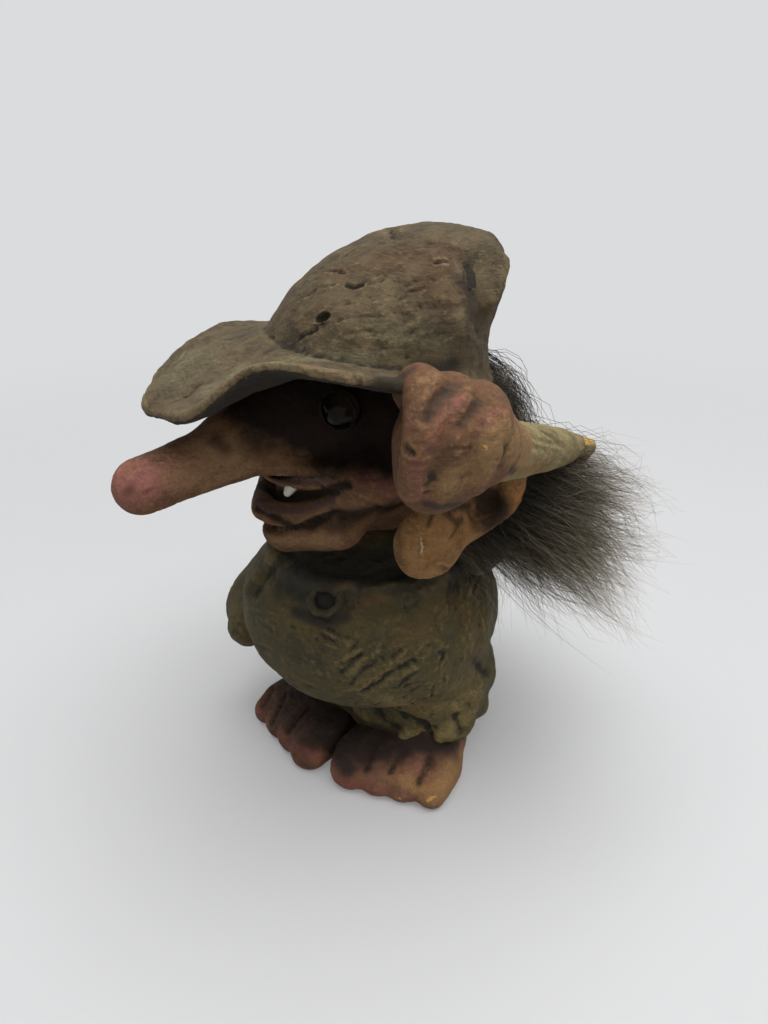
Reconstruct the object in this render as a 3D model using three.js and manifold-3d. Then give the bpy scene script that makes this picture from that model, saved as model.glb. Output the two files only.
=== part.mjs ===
// Folk troll figurine: a cast, painted rubber figure in a slouch hat, with glass eyes and a real fur wig.
// Millimetres, +Z up, standing on Z = 0. The body faces -Y, and its left hand (+X) holds the hat brim.
import * as THREE from "three";
import { mergeVertices } from "three/addons/utils/BufferGeometryUtils.js";
import Module from "manifold-3d";

const wasm = await Module();
wasm.setup();

const degrees = THREE.MathUtils.degToRad;

// Castings
const bodyWall = 3; // rubber wall of the torso and trousers
const headWall = 5; // rubber wall of the head, thick enough to seat the eyes
const hatWall = 3; // thickness of crown and brim
const glueGap = 0.3; // glue line between neighbouring pieces

// Torso and trousers
const bellyAt = [-2.5, -3, 43.5];
const bellyHalf = [34.5, 33.5, 25.5];
const chestHalf = [26, 22, 17];
const chestRise = 16.5; // chest centre above belly centre
const chestBack = 5; // chest centre behind belly centre
const waistRise = 17.5; // waistband above belly centre
const waistbandRadius = 2.2;
const legHalf = [17.5, 18, 14.5]; // one trouser leg
const legRise = 23; // leg centre above the floor
const leftLegAt = [14, 2];
const rightLegAt = [-12, 4];
const cuffLobes = 8; // gathers round a trouser cuff
const cuffLobeRadius = 4;
const cuffRise = 12.5;
const buttonRadius = 4.2;
const buttonThick = 2.4;
const shankRadius = 1.3;
const shankLength = 4;
const buttonOffset = 4; // from the belly's middle towards the left
const buttonDrop = 2; // below the waistband

// Feet
const footLength = 50;
const footWidth = 33;
const footHeight = 17;
const toeCount = 4;
const toeRadius = 5.6; // the big toe
const toeStep = 0.35; // each further toe is this much thinner
const toeStagger = 1.2; // and its tip this much further back
const heelBack = 17; // heel behind the leg's centre
const ankleRadius = 9;
const anklePlug = 9; // how far the ankle runs up into the trouser leg
const leftSplay = degrees(5);
const rightSplay = degrees(17);

// Head
const headTurn = degrees(30); // the head looks this far to its right
const skullRise = 98; // skull centre above the floor
const skullAhead = 2; // skull centre before the neck
const skullHalf = [27.5, 26, 25];
const neckRadius = 14;
const neckPlug = 12; // how far the neck runs down into the torso
const noseLength = 39; // from the skull's front to the tip
const noseRadius = 6.3;
const noseRootRadius = 9.5;
const noseDrop = 8; // nose tip below the skull centre
const mouthDrop = 17; // mouth below the skull centre
const mouthAhead = 2.5; // mouth before the skull's front
const mouthHalf = 20; // half the mouth's width
const mouthCurve = 15; // corners of the mouth behind its middle
const muzzleHalf = [23, 17, 13];
const cheekHalf = [10, 11, 9];
const smile = 9; // corners of the mouth above its middle
const lipRadius = 3;
const chinDrop = 26; // chin below the skull centre
const chinBack = 6; // chin behind the mouth
const chinRadius = 6;
const toothLength = 7;
const toothRadius = 1.7;
const toothOffset = 6; // from the middle towards the left
const eyeRadius = 4.7;
const eyeAround = 40; // degrees from the middle of the face
const eyeUp = 18; // degrees above the skull centre
const eyeOut = 1.2; // eye centre before the skull's surface
const gazeAround = 24; // degrees that each eye looks outwards
const eyeSlice = 1.2; // painted back of the eye, behind its middle
const earHalf = [4, 10.5, 13.5];
const earDrop = 10; // ear centre below the skull centre
const earBack = 3; // ear centre behind the neck
const lobeHalf = [4.6, 8.4, 8.8];
const lobeAt = [0, -9.5, -11]; // outwards, back and up from the ear's centre
const earRimRadius = 2.6;
const earRim = [
  [-2, -6, 11],
  [2, 4, 12],
  [5, 8, 3],
  [3, 4, -7],
  [0, -5, -11],
];

// Hat
const bandRise = 14; // hat band above the skull centre
const bandTilt = 4; // the band is this much higher in front, and lower behind
const bandEase = 1.6; // room between skull and hat band
const crownHeight = 28; // crown above the band
const crownLean = 14; // how far the top leans back
const brimSag = 0.6; // hollow of the brim between band and edge
// The brim's edge: degrees round from the front towards the left, reach past the band, rise above it.
const brimEdge = [
  [0, 28.2, -9.3],
  [15, 28, -6.8],
  [39, 25, 8],
  [52, 22.6, 6.4],
  [66, 20, 4.5],
  [92, 13, -2],
  [125, 5, -3],
  [180, 3, -3],
  [235, 4, -3],
  [272, 11, -2.6],
  [308, 17, -2.2],
  [336, 22.5, -6.8],
];

// Arms
const fistAngle = 76; // where the fist holds the brim, degrees from the front towards the left
const fistHalf = [9.5, 11, 12.5];
const fingerCount = 3;
const fingerRadius = 4.5;
const knuckleStep = 2; // each further knuckle is this much lower
const wristRadius = 5.5;
const wristPlug = 10; // how far the wrist runs into the sleeve
const elbowAt = [46.5, 15.5, 92];
const elbowRadius = 3.6;
const sleeveRadius = 7.6;
const shoulderRadius = 10;
const shoulderBack = 4; // shoulders behind the chest's centre
const shoulderRise = 4; // and above it
const shoulderPegRadius = 3;
const shoulderPegLength = 5; // from the torso's side into the sleeve
const rightElbowAt = [-42, -5, 38];
const rightCuffAt = [-35, -15, 32];

// Fur
const hideThick = 1.5; // tanned skin that the fur grows on
const hideFront = 6; // the hide ends this far before the skull's middle
const lockRadius = 9;
const lockTipRadius = 4;
// One lock: degrees round from the front, degrees up, then its bend and its tip beyond the root.
const sideLocks = [
  { around: 122, up: -12, bend: [3, 20, -10], tip: [5, 42, -20] },
  { around: 138, up: -8, bend: [7, 26, -13], tip: [10, 48, -29] },
  { around: 140, up: -30, bend: [9, 26, -16], tip: [12, 46, -38] },
  { around: 145, up: -48, bend: [6, 24, -20], tip: [11, 42, -44] },
  { around: 108, up: -14, bend: [13, 18, -9], tip: [13, 44, -27] },
  { around: 108, up: -30, bend: [15, 17, -12], tip: [13, 46, -37] },
];
const middleLocks = [
  { around: 180, up: -10, bend: [2, 22, -12], tip: [3, 43, -29] },
  { around: 180, up: -30, bend: [1, 24, -16], tip: [3, 41, -42] },
];

// Facets
const ballSides = 14;
const ballRings = 8;
const lobeSides = 6;
const lobeRings = 4;
const waistSteps = 22;
const coreSides = 10; // hidden insides
const coreRings = 6;
const furSides = 5;
const limbSides = 7;
const limbSteps = 2; // rings between two points of a limb
const capRings = 2;
const rodSides = 16;
const hatSides = 32;

// Solids from geometry

function solid(geometry) {
  const bare = new THREE.BufferGeometry();
  bare.setAttribute("position", geometry.getAttribute("position"));
  bare.setIndex(geometry.index);
  const merged = mergeVertices(bare, 1e-4);
  return new wasm.Manifold(
    new wasm.Mesh({
      numProp: 3,
      vertProperties: merged.attributes.position.array,
      triVerts: new Uint32Array(merged.index.array),
    }),
  );
}

const fuse = (geometries) => geometries.map(solid).reduce((whole, one) => whole.add(one));
const cut = (body, ...cutters) => cutters.reduce((rest, cutter) => rest.subtract(fuse(cutter)), body);

// The biggest body that a cut leaves, without the crumbs.
const largest = (body) => body.decompose().reduce((a, b) => (a.volume() > b.volume() ? a : b));

function meshOf(name, body, material) {
  const made = largest(body).getMesh();
  const geometry = new THREE.BufferGeometry();
  geometry.setAttribute("position", new THREE.BufferAttribute(made.vertProperties, 3));
  geometry.setIndex(new THREE.BufferAttribute(made.triVerts, 1));
  geometry.computeVertexNormals();
  const mesh = new THREE.Mesh(geometry, material);
  mesh.name = name;
  return mesh;
}

// An ellipsoid, grown all round.
function ball(at, half, grow = 0, sides = ballSides, rings = ballRings) {
  const geometry = new THREE.SphereGeometry(1, sides, rings);
  geometry.scale(half[0] + grow, half[1] + grow, half[2] + grow);
  return geometry.translate(...at);
}

// A round rod with flat ends, grown all round.
function rod(from, to, radius, grow = 0) {
  const start = new THREE.Vector3(...from);
  const end = new THREE.Vector3(...to);
  const way = end.clone().sub(start);
  const thick = radius + grow;
  const geometry = new THREE.CylinderGeometry(thick, thick, way.length() + 2 * grow, rodSides);
  const up = new THREE.Vector3(0, 1, 0);
  geometry.applyQuaternion(new THREE.Quaternion().setFromUnitVectors(up, way.normalize()));
  return geometry.translate(...start.lerp(end, 0.5).toArray());
}

// A closed surface through rings of points, with a point at each end.
function loft(first, rings, last) {
  const sides = rings[0].length;
  const points = [first, ...rings.flat(), last];
  const faces = [];
  const at = (ring, side) => 1 + ring * sides + (side % sides);
  for (let s = 0; s < sides; s++) {
    faces.push(0, at(0, s + 1), at(0, s));
    for (let r = 0; r + 1 < rings.length; r++) {
      faces.push(at(r, s), at(r, s + 1), at(r + 1, s + 1));
      faces.push(at(r, s), at(r + 1, s + 1), at(r + 1, s));
    }
    faces.push(points.length - 1, at(rings.length - 1, s), at(rings.length - 1, s + 1));
  }
  const geometry = new THREE.BufferGeometry();
  geometry.setAttribute("position", new THREE.Float32BufferAttribute(points.flatMap((p) => p.toArray()), 3));
  return geometry.setIndex(faces);
}

// A tapering tube with round ends through points, with one radius for each.
function limb(points, radii, grow = 0, sides = limbSides) {
  const path = new THREE.CatmullRomCurve3(points.map((p) => new THREE.Vector3(...p)));
  const spans = points.length - 1;
  const radiusAt = (t) => {
    const i = Math.min(Math.floor(t * spans), spans - 1);
    return THREE.MathUtils.lerp(radii[i], radii[i + 1], t * spans - i) + grow;
  };
  const cap = (t, sign) =>
    Array.from({ length: capRings }, (_, k) => {
      const angle = ((k + 1) * Math.PI) / 2 / (capRings + 1);
      const tangent = path.getTangent(t);
      const centre = path.getPoint(t).addScaledVector(tangent, sign * radiusAt(t) * Math.sin(angle));
      return { centre, tangent, radius: radiusAt(t) * Math.cos(angle) };
    });
  const middle = Array.from({ length: spans * limbSteps + 1 }, (_, i) => {
    const t = i / (spans * limbSteps);
    return { centre: path.getPoint(t), tangent: path.getTangent(t), radius: radiusAt(t) };
  });
  const side = new THREE.Vector3(0.31, 0.83, 0.47);
  const rings = [...cap(0, -1).reverse(), ...middle, ...cap(1, 1)].map(({ centre, tangent, radius }) => {
    side.addScaledVector(tangent, -side.dot(tangent)).normalize();
    const other = tangent.clone().cross(side);
    return Array.from({ length: sides }, (_, k) => {
      const angle = (2 * Math.PI * k) / sides;
      const out = side.clone().multiplyScalar(Math.cos(angle)).addScaledVector(other, Math.sin(angle));
      return centre.clone().addScaledVector(out, radius);
    });
  });
  const first = path.getPoint(0).addScaledVector(path.getTangent(0), -radiusAt(0));
  const last = path.getPoint(1).addScaledVector(path.getTangent(1), radiusAt(1));
  return loft(first, rings, last);
}

const mirrored = ([x, y, z]) => [-x, y, z];
const through = (half) => [...half, ...half.slice(0, -1).map(mirrored).reverse()];
const moved = (geometries, matrix) => geometries.map((g) => g.clone().applyMatrix4(matrix));

// Frames: the head turns about the neck

const bodyAxis = [bellyAt[0], bellyAt[1] + chestBack];
const chestAt = [...bodyAxis, bellyAt[2] + chestRise];
const skullAt = [0, -skullAhead, skullRise];
const headMatrix = new THREE.Matrix4().makeRotationZ(-headTurn);
const headInverse = headMatrix.clone().invert();

// A point on the skull, by degrees from the front towards the left and above the level, pushed out.
function onSkull(around, up, out = 0) {
  const a = degrees(around);
  const e = degrees(up);
  const way = [Math.sin(a) * Math.cos(e), -Math.cos(a) * Math.cos(e), Math.sin(e)];
  return way.map((w, i) => skullAt[i] + w * (skullHalf[i] + out));
}

// Head, in its own frame: the face looks along -Y

const faceFront = skullAt[1] - skullHalf[1];
const mouthFront = faceFront - mouthAhead;
const mouthRise = skullRise - mouthDrop;
const neckFoot = [0, 0, chestAt[2] + chestHalf[2] - neckPlug];
const neck = (grow) => rod([0, 0, skullRise], neckFoot, neckRadius, grow);

function nose(grow) {
  const root = faceFront + noseRootRadius;
  const tip = faceFront - noseLength + noseRadius;
  const along = (share) => [0, root + (tip - root) * share, skullRise - noseDrop * share];
  const radii = [noseRootRadius, (noseRootRadius + noseRadius) / 2, noseRadius, noseRadius];
  return limb([along(0), along(0.36), along(0.75), along(1)], radii, grow);
}

// A line along the mouth from corner to corner, below its middle by a drop and before it.
function mouthLine(drop, ahead) {
  return through([
    [mouthHalf, mouthFront + mouthCurve, mouthRise + smile - drop * 0.1],
    [mouthHalf * 0.58, mouthFront + mouthCurve * 0.23 - ahead, mouthRise + smile * 0.3 - drop * 0.8],
    [0, mouthFront - ahead, mouthRise - drop],
  ]);
}

function headShape(grow) {
  const muzzleAt = [0, mouthFront + muzzleHalf[1], mouthRise + muzzleHalf[2] * 0.15];
  const cheekAt = [mouthHalf * 0.95, muzzleAt[1], mouthRise + smile * 0.9];
  const chinRise = skullRise - chinDrop;
  const chinLine = through([
    [mouthHalf * 0.8, mouthFront + 2 * chinBack, chinRise + chinRadius / 2],
    [0, mouthFront + chinBack, chinRise],
  ]);
  return [
    ball(skullAt, skullHalf, grow),
    ball(muzzleAt, muzzleHalf, grow),
    ball(cheekAt, cheekHalf, grow),
    ball(mirrored(cheekAt), cheekHalf, grow),
    limb(chinLine, [0.85, 1, 0.85].map((share) => share * chinRadius), grow),
    nose(grow),
    neck(grow),
  ];
}

function lips() {
  const radii = [0.6, 1, 1.05, 1, 0.6].map((share) => share * lipRadius);
  const upper = mouthLine(-1.4 * lipRadius, 0.15 * lipRadius);
  const lower = mouthLine(1.45 * lipRadius, 0.45 * lipRadius);
  return [limb(upper, radii), limb(lower, radii)];
}

function mouthGap() {
  const radii = [0.33, 0.8, 0.93, 0.8, 0.33].map((share) => share * lipRadius);
  return [limb(mouthLine(0, lipRadius / 3), radii)];
}

function headCavity(grow) {
  const skullCore = ball(skullAt, skullHalf, grow - headWall, coreSides, coreRings);
  return [skullCore, rod([0, 0, skullRise], [0, 0, chestAt[2]], neckRadius - headWall, grow)];
}

const eyeAt = (side) => onSkull(eyeAround * side, eyeUp, eyeOut);
const eyeball = (side, grow) => [ball(eyeAt(side), Array(3).fill(eyeRadius), grow)];

// The half space in front of the plane where an eye's glass meets its painted back.
function eyeFront(side, shift) {
  const reach = 4 * eyeRadius;
  const ahead = new THREE.Vector3(...onSkull(gazeAround * side, 0));
  const look = ahead.sub(new THREE.Vector3(...skullAt)).normalize();
  const turn = new THREE.Quaternion().setFromUnitVectors(new THREE.Vector3(0, -1, 0), look);
  const centre = new THREE.Vector3(...eyeAt(side)).addScaledVector(look, reach / 2 - eyeSlice + shift);
  return [new THREE.BoxGeometry(reach, reach, reach).applyQuaternion(turn).translate(...centre.toArray())];
}

function tooth(grow) {
  const gum = [toothOffset, mouthFront + lipRadius, mouthRise + 1.3 * lipRadius];
  const tip = [toothOffset, mouthFront + 0.15 * lipRadius, gum[2] - toothLength];
  return [limb([gum, tip], [toothRadius * 1.15, toothRadius * 0.75], grow)];
}

const earAt = (side) => [side * (skullHalf[0] + earHalf[0]), earBack, skullRise - earDrop];

function earShape(side, grow) {
  const [x, y, z] = earAt(side);
  const place = ([out, back, up]) => [x + side * out, y + back, z + up];
  return [
    ball(earAt(side), earHalf, grow),
    ball(place(lobeAt), lobeHalf, grow),
    limb(earRim.map(place), earRim.map(() => earRimRadius), grow),
  ];
}

function earBowl(side) {
  const [x, y, z] = earAt(side);
  return [ball([x + side * earHalf[0] * 1.4, y, z], [earHalf[0], earHalf[1] * 0.62, earHalf[2] * 0.66])];
}

// Hat, in the head's frame: a crown that leans back over a brim with a wandering edge

const bandSection = Math.sqrt(1 - (bandRise / skullHalf[2]) ** 2);
const bandHalf = [0, 1].map((i) => skullHalf[i] * bandSection + bandEase + hatWall);
const bandZ = skullRise + bandRise;
const hatAngles = Array.from({ length: hatSides }, (_, k) => (2 * Math.PI * k) / hatSides);

function hatPoint(angle, halfX, halfY, shiftY, z) {
  return new THREE.Vector3(halfX * Math.sin(angle), shiftY - halfY * Math.cos(angle), z);
}

function bandPoint(angle, grow) {
  const z = bandZ + bandTilt * Math.cos(angle);
  return hatPoint(angle, bandHalf[0] + grow, bandHalf[1] + grow, skullAt[1], z);
}

// Reach and rise of the brim's edge at an angle, eased between the listed ones.
function brimAt(angle) {
  const turn = THREE.MathUtils.euclideanModulo(THREE.MathUtils.radToDeg(angle), 360);
  const next = brimEdge.findIndex(([at]) => at > turn);
  const a = brimEdge.at(next < 0 ? -1 : next - 1);
  const b = next < 0 ? [360, ...brimEdge[0].slice(1)] : brimEdge[next];
  const share = THREE.MathUtils.smoothstep(turn, a[0], b[0]);
  return [1, 2].map((i) => THREE.MathUtils.lerp(a[i], b[i], share));
}

function brimPoint(angle, share, lift, grow = 0) {
  const [reach, rise] = brimAt(angle);
  return bandPoint(angle, (reach + grow) * share).add(new THREE.Vector3(0, 0, rise * share + lift));
}

function crownRings(inset) {
  // Shares of the crown's height and lean, then of the band's width and depth that are left.
  const stations = [
    [0.28, 0.15, 0.945, 0.89],
    [0.54, 0.47, 0.87, 0.84],
    [0.76, 0.78, 0.71, 0.73],
    [0.91, 0.95, 0.49, 0.54],
  ];
  return stations.map(([up, lean, across, along]) =>
    hatAngles.map((a) => {
      const halfX = bandHalf[0] * across - inset;
      const halfY = bandHalf[1] * along - inset;
      return hatPoint(a, halfX, halfY, crownLean * lean, bandZ + (crownHeight - inset) * up);
    }),
  );
}

function hatShape(grow) {
  const half = hatWall / 2 + grow;
  const brim = (share, lift) => hatAngles.map((a) => brimPoint(a, share, lift, grow));
  const lining = hatAngles.map((a) => bandPoint(a, -hatWall - grow).add(new THREE.Vector3(0, 0, -half)));
  return [
    loft(
      new THREE.Vector3(0, crownLean, bandZ + crownHeight - hatWall - grow),
      [
        ...crownRings(hatWall + grow).reverse(),
        lining,
        brim(0.35, -half - brimSag),
        brim(0.75, -half),
        brim(1, -half * 0.6),
        brim(1, half * 0.6),
        brim(0.75, half),
        brim(0.35, half - brimSag),
        hatAngles.map((a) => bandPoint(a, grow).add(new THREE.Vector3(0, 0, half))),
        ...crownRings(-grow),
      ],
      new THREE.Vector3(0, crownLean, bandZ + crownHeight + grow),
    ),
  ];
}

// Fist, in the figure's frame: knuckles up, fingers curled over the brim

const gripAt = brimPoint(degrees(fistAngle), 1, 0).applyMatrix4(headMatrix);
const outward = new THREE.Vector3(gripAt.x, gripAt.y, 0).normalize();
const forward = new THREE.Vector3(outward.y, -outward.x, 0);
const fistDrop = new THREE.Vector3(0, 0, -fistHalf[2] * 0.8);
const fistAt = gripAt.clone().addScaledVector(forward, -fingerRadius / 3).add(fistDrop);

function inFist(out, ahead, up) {
  const point = fistAt.clone().addScaledVector(outward, out).addScaledVector(forward, ahead);
  return point.add(new THREE.Vector3(0, 0, up)).toArray();
}

const wristAt = new THREE.Vector3(...inFist(0, -fistHalf[1] * 0.7, 0));
const forearm = new THREE.Vector3(...elbowAt).sub(wristAt).normalize();
const wristEnd = wristAt.clone().addScaledVector(forearm, wristPlug);
const wrist = (grow) => rod(wristAt.toArray(), wristEnd.toArray(), wristRadius, grow);
const heelOfHand = (grow) => ball(wristAt.toArray(), Array(3).fill(wristRadius * 1.2), grow);

function fistShape(grow) {
  const spread = fistHalf[1] - fingerRadius;
  const fingers = Array.from({ length: fingerCount }, (_, i) => {
    const ahead = spread - (2 * spread * i) / (fingerCount - 1);
    const knuckle = fistHalf[2] - i * knuckleStep;
    const path = [
      inFist(fistHalf[0] * 0.63, ahead, -fistHalf[2] * 0.24),
      inFist(fistHalf[0] * 0.74, ahead, knuckle * 0.55),
      inFist(fistHalf[0] * 0.16, ahead, knuckle * 0.95),
      inFist(-fistHalf[0] * 0.53, ahead, knuckle * 0.75),
    ];
    return limb(path, [0.8, 1, 0.95, 0.75].map((share) => share * fingerRadius), grow);
  });
  return [ball(fistAt.toArray(), fistHalf, grow), ...fingers, heelOfHand(grow), wrist(grow)];
}

// Sleeves

function shoulderAt(side) {
  const [x, y, z] = chestAt;
  return [x + side * chestHalf[0] * 0.92, y + shoulderBack, z + shoulderRise];
}

function shoulderPeg(side, grow) {
  const [x, y, z] = shoulderAt(side);
  const outer = [x + side * shoulderPegLength, y, z];
  const inner = [x - side * bodyWall * 1.7, y, z];
  return rod(outer, inner, shoulderPegRadius, grow);
}

const midway = (a, b, share = 0.5) => a.map((v, i) => THREE.MathUtils.lerp(v, b[i], share));

function leftSleeve(grow) {
  const shoulder = shoulderAt(1);
  const cuff = wristAt.clone().addScaledVector(forearm, wristPlug * 0.3).toArray();
  const upperArm = [shoulder, midway(shoulder, elbowAt), midway(shoulder, elbowAt, 0.93)];
  const lowerArm = [elbowAt, midway(elbowAt, cuff), cuff];
  return [
    limb(upperArm, [shoulderRadius, sleeveRadius, elbowRadius * 1.3], grow),
    limb(lowerArm, [elbowRadius, sleeveRadius * 0.82, sleeveRadius], grow),
  ];
}

function rightSleeve(grow) {
  const shoulder = shoulderAt(-1);
  const path = [shoulder, midway(shoulder, rightElbowAt), rightElbowAt, rightCuffAt];
  return [limb(path, [shoulderRadius, sleeveRadius * 1.05, sleeveRadius, sleeveRadius * 0.8], grow)];
}

// Torso and trousers

const legAt = (side) => [...(side > 0 ? leftLegAt : rightLegAt), legRise];

function bodyMass(grow, sides = ballSides, rings = ballRings) {
  const masses = [
    [bellyAt, bellyHalf],
    [chestAt, chestHalf],
    [legAt(1), legHalf],
    [legAt(-1), legHalf],
  ];
  return masses.map(([at, half]) => ball(at, half, grow, sides, rings));
}

const bodyCore = (grow) => bodyMass(grow - bodyWall, coreSides, coreRings);

// A point on the belly at a rise above its centre, by an angle round from the front towards the left.
function onBelly(angle, rise, out = 0) {
  const section = Math.sqrt(1 - (rise / bellyHalf[2]) ** 2);
  return [
    bellyAt[0] + (bellyHalf[0] * section + out) * Math.sin(angle),
    bellyAt[1] - (bellyHalf[1] * section + out) * Math.cos(angle),
    bellyAt[2] + rise,
  ];
}

function waistband() {
  const section = Math.sqrt(1 - (waistRise / bellyHalf[2]) ** 2);
  const ring = new THREE.TorusGeometry(bellyHalf[0] * section, waistbandRadius, lobeSides, waistSteps);
  ring.scale(1, bellyHalf[1] / bellyHalf[0], 1);
  return ring.translate(bellyAt[0], bellyAt[1], bellyAt[2] + waistRise);
}

function cuffGathers(side) {
  const [x, y] = legAt(side);
  return Array.from({ length: cuffLobes }, (_, k) => {
    const a = (2 * Math.PI * k) / cuffLobes;
    const reach = legHalf.map((half) => half - cuffLobeRadius);
    const at = [x + reach[0] * Math.sin(a), y - reach[1] * Math.cos(a), cuffRise];
    return ball(at, [1.3, 1.3, 1].map((share) => share * cuffLobeRadius), 0, lobeSides, lobeRings);
  });
}

// A button with a dished face, its shank pointing into the cloth.
function button(grow) {
  const rise = waistRise - buttonDrop;
  const turn = Math.asin(buttonOffset / (bellyHalf[0] * Math.sqrt(1 - (rise / bellyHalf[2]) ** 2)));
  const r = buttonRadius + grow;
  const t = buttonThick + grow;
  const profile = [
    [0, -shankLength - grow],
    [shankRadius + grow, -shankLength - grow],
    [shankRadius + grow, -grow],
    [r * 0.85, -grow],
    [r, t * 0.4],
    [r * 0.86, t],
    [r * 0.6, t * 0.7],
    [0, t * 0.55],
  ].map(([x, y]) => new THREE.Vector2(x, y));
  const tilt = Math.atan2(rise * bellyHalf[1] ** 2, bellyHalf[2] ** 2 * (bellyAt[1] - onBelly(0, rise)[1]));
  const turned = new THREE.LatheGeometry(profile, rodSides).rotateX(Math.PI - tilt).rotateZ(turn);
  return [turned.translate(...onBelly(turn, rise, 2 * glueGap))];
}

// Feet: toes towards -Y, heel on the origin, sole on Z = 0

function footShape(side, grow) {
  const half = footWidth / 2;
  const rise = footHeight + anklePlug;
  const heel = footLength * 0.22;
  return [
    ball([0, -heel, footHeight * 0.36], [half * 0.68, heel, footHeight * 0.58], grow),
    ball([0, -footLength * 0.5, footHeight * 0.34], [half * 0.8, footLength * 0.28, footHeight * 0.62], grow),
    ball([0, -footLength * 0.68, footHeight * 0.24], [half * 0.94, heel, footHeight * 0.44], grow),
    rod([0, -heelBack, footHeight * 0.5], [0, -heelBack, rise], ankleRadius, grow),
    ...toes(side, grow),
  ];
}

function toes(side, grow) {
  return Array.from({ length: toeCount }, (_, i) => {
    const radius = toeRadius - i * toeStep;
    const reach = footWidth / 2 - toeRadius;
    const x = -side * (reach - (2 * reach * i) / (toeCount - 1)); // the big toe is on the inner side
    const tip = -footLength + radius + i * toeStagger;
    const path = [
      [x * 0.75, -footLength * 0.58, footHeight * 0.38],
      [x, tip + radius * 0.75, radius],
      [x, tip, radius * 0.75],
    ];
    return limb(path, [radius, radius, radius * 0.92], grow);
  });
}

const floorBlock = () => {
  const reach = 4 * footLength;
  return [new THREE.BoxGeometry(reach, reach, reach).translate(0, 0, -reach / 2)];
};

function footMatrix(side) {
  const splay = side > 0 ? leftSplay : -rightSplay;
  const [x, y] = legAt(side);
  const matrix = new THREE.Matrix4().makeTranslation(x, y, 0);
  matrix.multiply(new THREE.Matrix4().makeRotationZ(splay));
  return matrix.multiply(new THREE.Matrix4().makeTranslation(0, heelBack, 0));
}

// Fur: locks that fan out from the hide on the back of the head

function furShape() {
  const rightLocks = sideLocks.map(({ around, up, bend, tip }) => ({
    around: -around,
    up,
    bend: mirrored(bend),
    tip: mirrored(tip),
  }));
  return [...sideLocks, ...middleLocks, ...rightLocks].map(({ around, up, bend, tip }) => {
    const root = onSkull(around, up, hideThick);
    const from = (step) => root.map((r, i) => r + step[i]);
    return limb([root, from(bend), from(tip)], [lockRadius, lockRadius, lockTipRadius], 0, furSides);
  });
}

function hideShape(grow) {
  const skin = (out) => fuse([ball(skullAt, skullHalf, out)]);
  const shell = skin(glueGap + hideThick + grow).subtract(skin(glueGap - grow));
  const low = skullRise - skullHalf[2] * 0.62;
  const high = bandZ - bandTilt - hatWall;
  const reach = 4 * skullHalf[0];
  const window = new THREE.BoxGeometry(reach, reach, high - low + 2 * grow);
  window.translate(0, skullAt[1] - hideFront - grow + reach / 2, (low + high) / 2);
  return shell.intersect(solid(window));
}

// Finishes

const finish = (color, roughness) => new THREE.MeshStandardMaterial({ color, roughness, metalness: 0 });
const hatPaint = finish(0x6b6049, 0.85);
const skinPaint = finish(0x7a5638, 0.8);
const clothPaint = finish(0x565035, 0.85);
const footPaint = finish(0x7f5a42, 0.8);
const earPaint = finish(0x8f6a41, 0.8);
const eyeGlass = finish(0x9a8f78, 0.05);
const eyePaint = finish(0x14100c, 0.3);
const toothWhite = finish(0xd8d4c8, 0.4);
const buttonPaint = finish(0x2b2a26, 0.7);
const furBrown = finish(0x4c463b, 0.9);
const hideTan = finish(0x8b7a5f, 0.9);
const foamYellow = finish(0xcdb56a, 1);

// Assembly: where two castings would meet, the later one named in a cut keeps the glue gap

const figure = new THREE.Group();
const headGroup = new THREE.Group();
headGroup.rotation.z = -headTurn;
figure.add(headGroup);

const sides = [
  [1, "left"],
  [-1, "right"],
];
const sleeve = { 1: leftSleeve, [-1]: rightSleeve };
const headInFigure = moved(headShape(glueGap), headMatrix);
const hatInFigure = moved(hatShape(glueGap), headMatrix);
const bodyInHead = moved(bodyMass(glueGap), headInverse);
const fistInHead = moved(fistShape(glueGap), headInverse);
const sleevesInHead = moved([...leftSleeve(glueGap), ...rightSleeve(glueGap)], headInverse);
const eyeSockets = [...eyeball(1, glueGap), ...eyeball(-1, glueGap)];

const face = cut(fuse(headShape(0)), mouthGap()).add(fuse(lips()));
headGroup.add(meshOf("head", cut(face, headCavity(0), eyeSockets, tooth(glueGap)), skinPaint));
headGroup.add(meshOf("tooth", fuse(tooth(0)), toothWhite));
headGroup.add(meshOf("hat", cut(fuse(hatShape(0)), headShape(glueGap), eyeSockets), hatPaint));

const earNeighbours = [headShape(glueGap), hatShape(glueGap), bodyInHead, fistInHead, sleevesInHead];
for (const [side, name] of sides) {
  const eye = fuse(eyeball(side, 0));
  headGroup.add(meshOf(`${name}_eye_glass`, eye.intersect(fuse(eyeFront(side, glueGap))), eyeGlass));
  headGroup.add(meshOf(`${name}_eye_back`, cut(eye, eyeFront(side, 0)), eyePaint));
  const ear = cut(fuse(earShape(side, 0)), earBowl(side), ...earNeighbours);
  headGroup.add(meshOf(`${name}_ear`, ear, earPaint));
}

const ears = [...earShape(1, glueGap), ...earShape(-1, glueGap)];
const hide = cut(hideShape(0), headShape(glueGap), hatShape(glueGap), ears);
headGroup.add(meshOf("fur_hide", hide, hideTan));
const fur = fuse(furShape()).subtract(hideShape(glueGap));
const wig = cut(fur, headShape(glueGap), hatShape(glueGap), ears, bodyInHead, sleevesInHead, fistInHead);
headGroup.add(meshOf("fur_wig", wig, furBrown));

figure.add(meshOf("left_fist", cut(fuse(fistShape(0)), hatInFigure, headInFigure), skinPaint));
const sleeveNeighbours = [bodyMass(glueGap), hatInFigure, headInFigure, fistShape(glueGap)];
for (const [side, name] of sides) {
  const arm = cut(fuse(sleeve[side](0)), ...sleeveNeighbours).add(solid(shoulderPeg(side, 0)));
  figure.add(meshOf(`${name}_sleeve`, arm, clothPaint));
}

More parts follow.
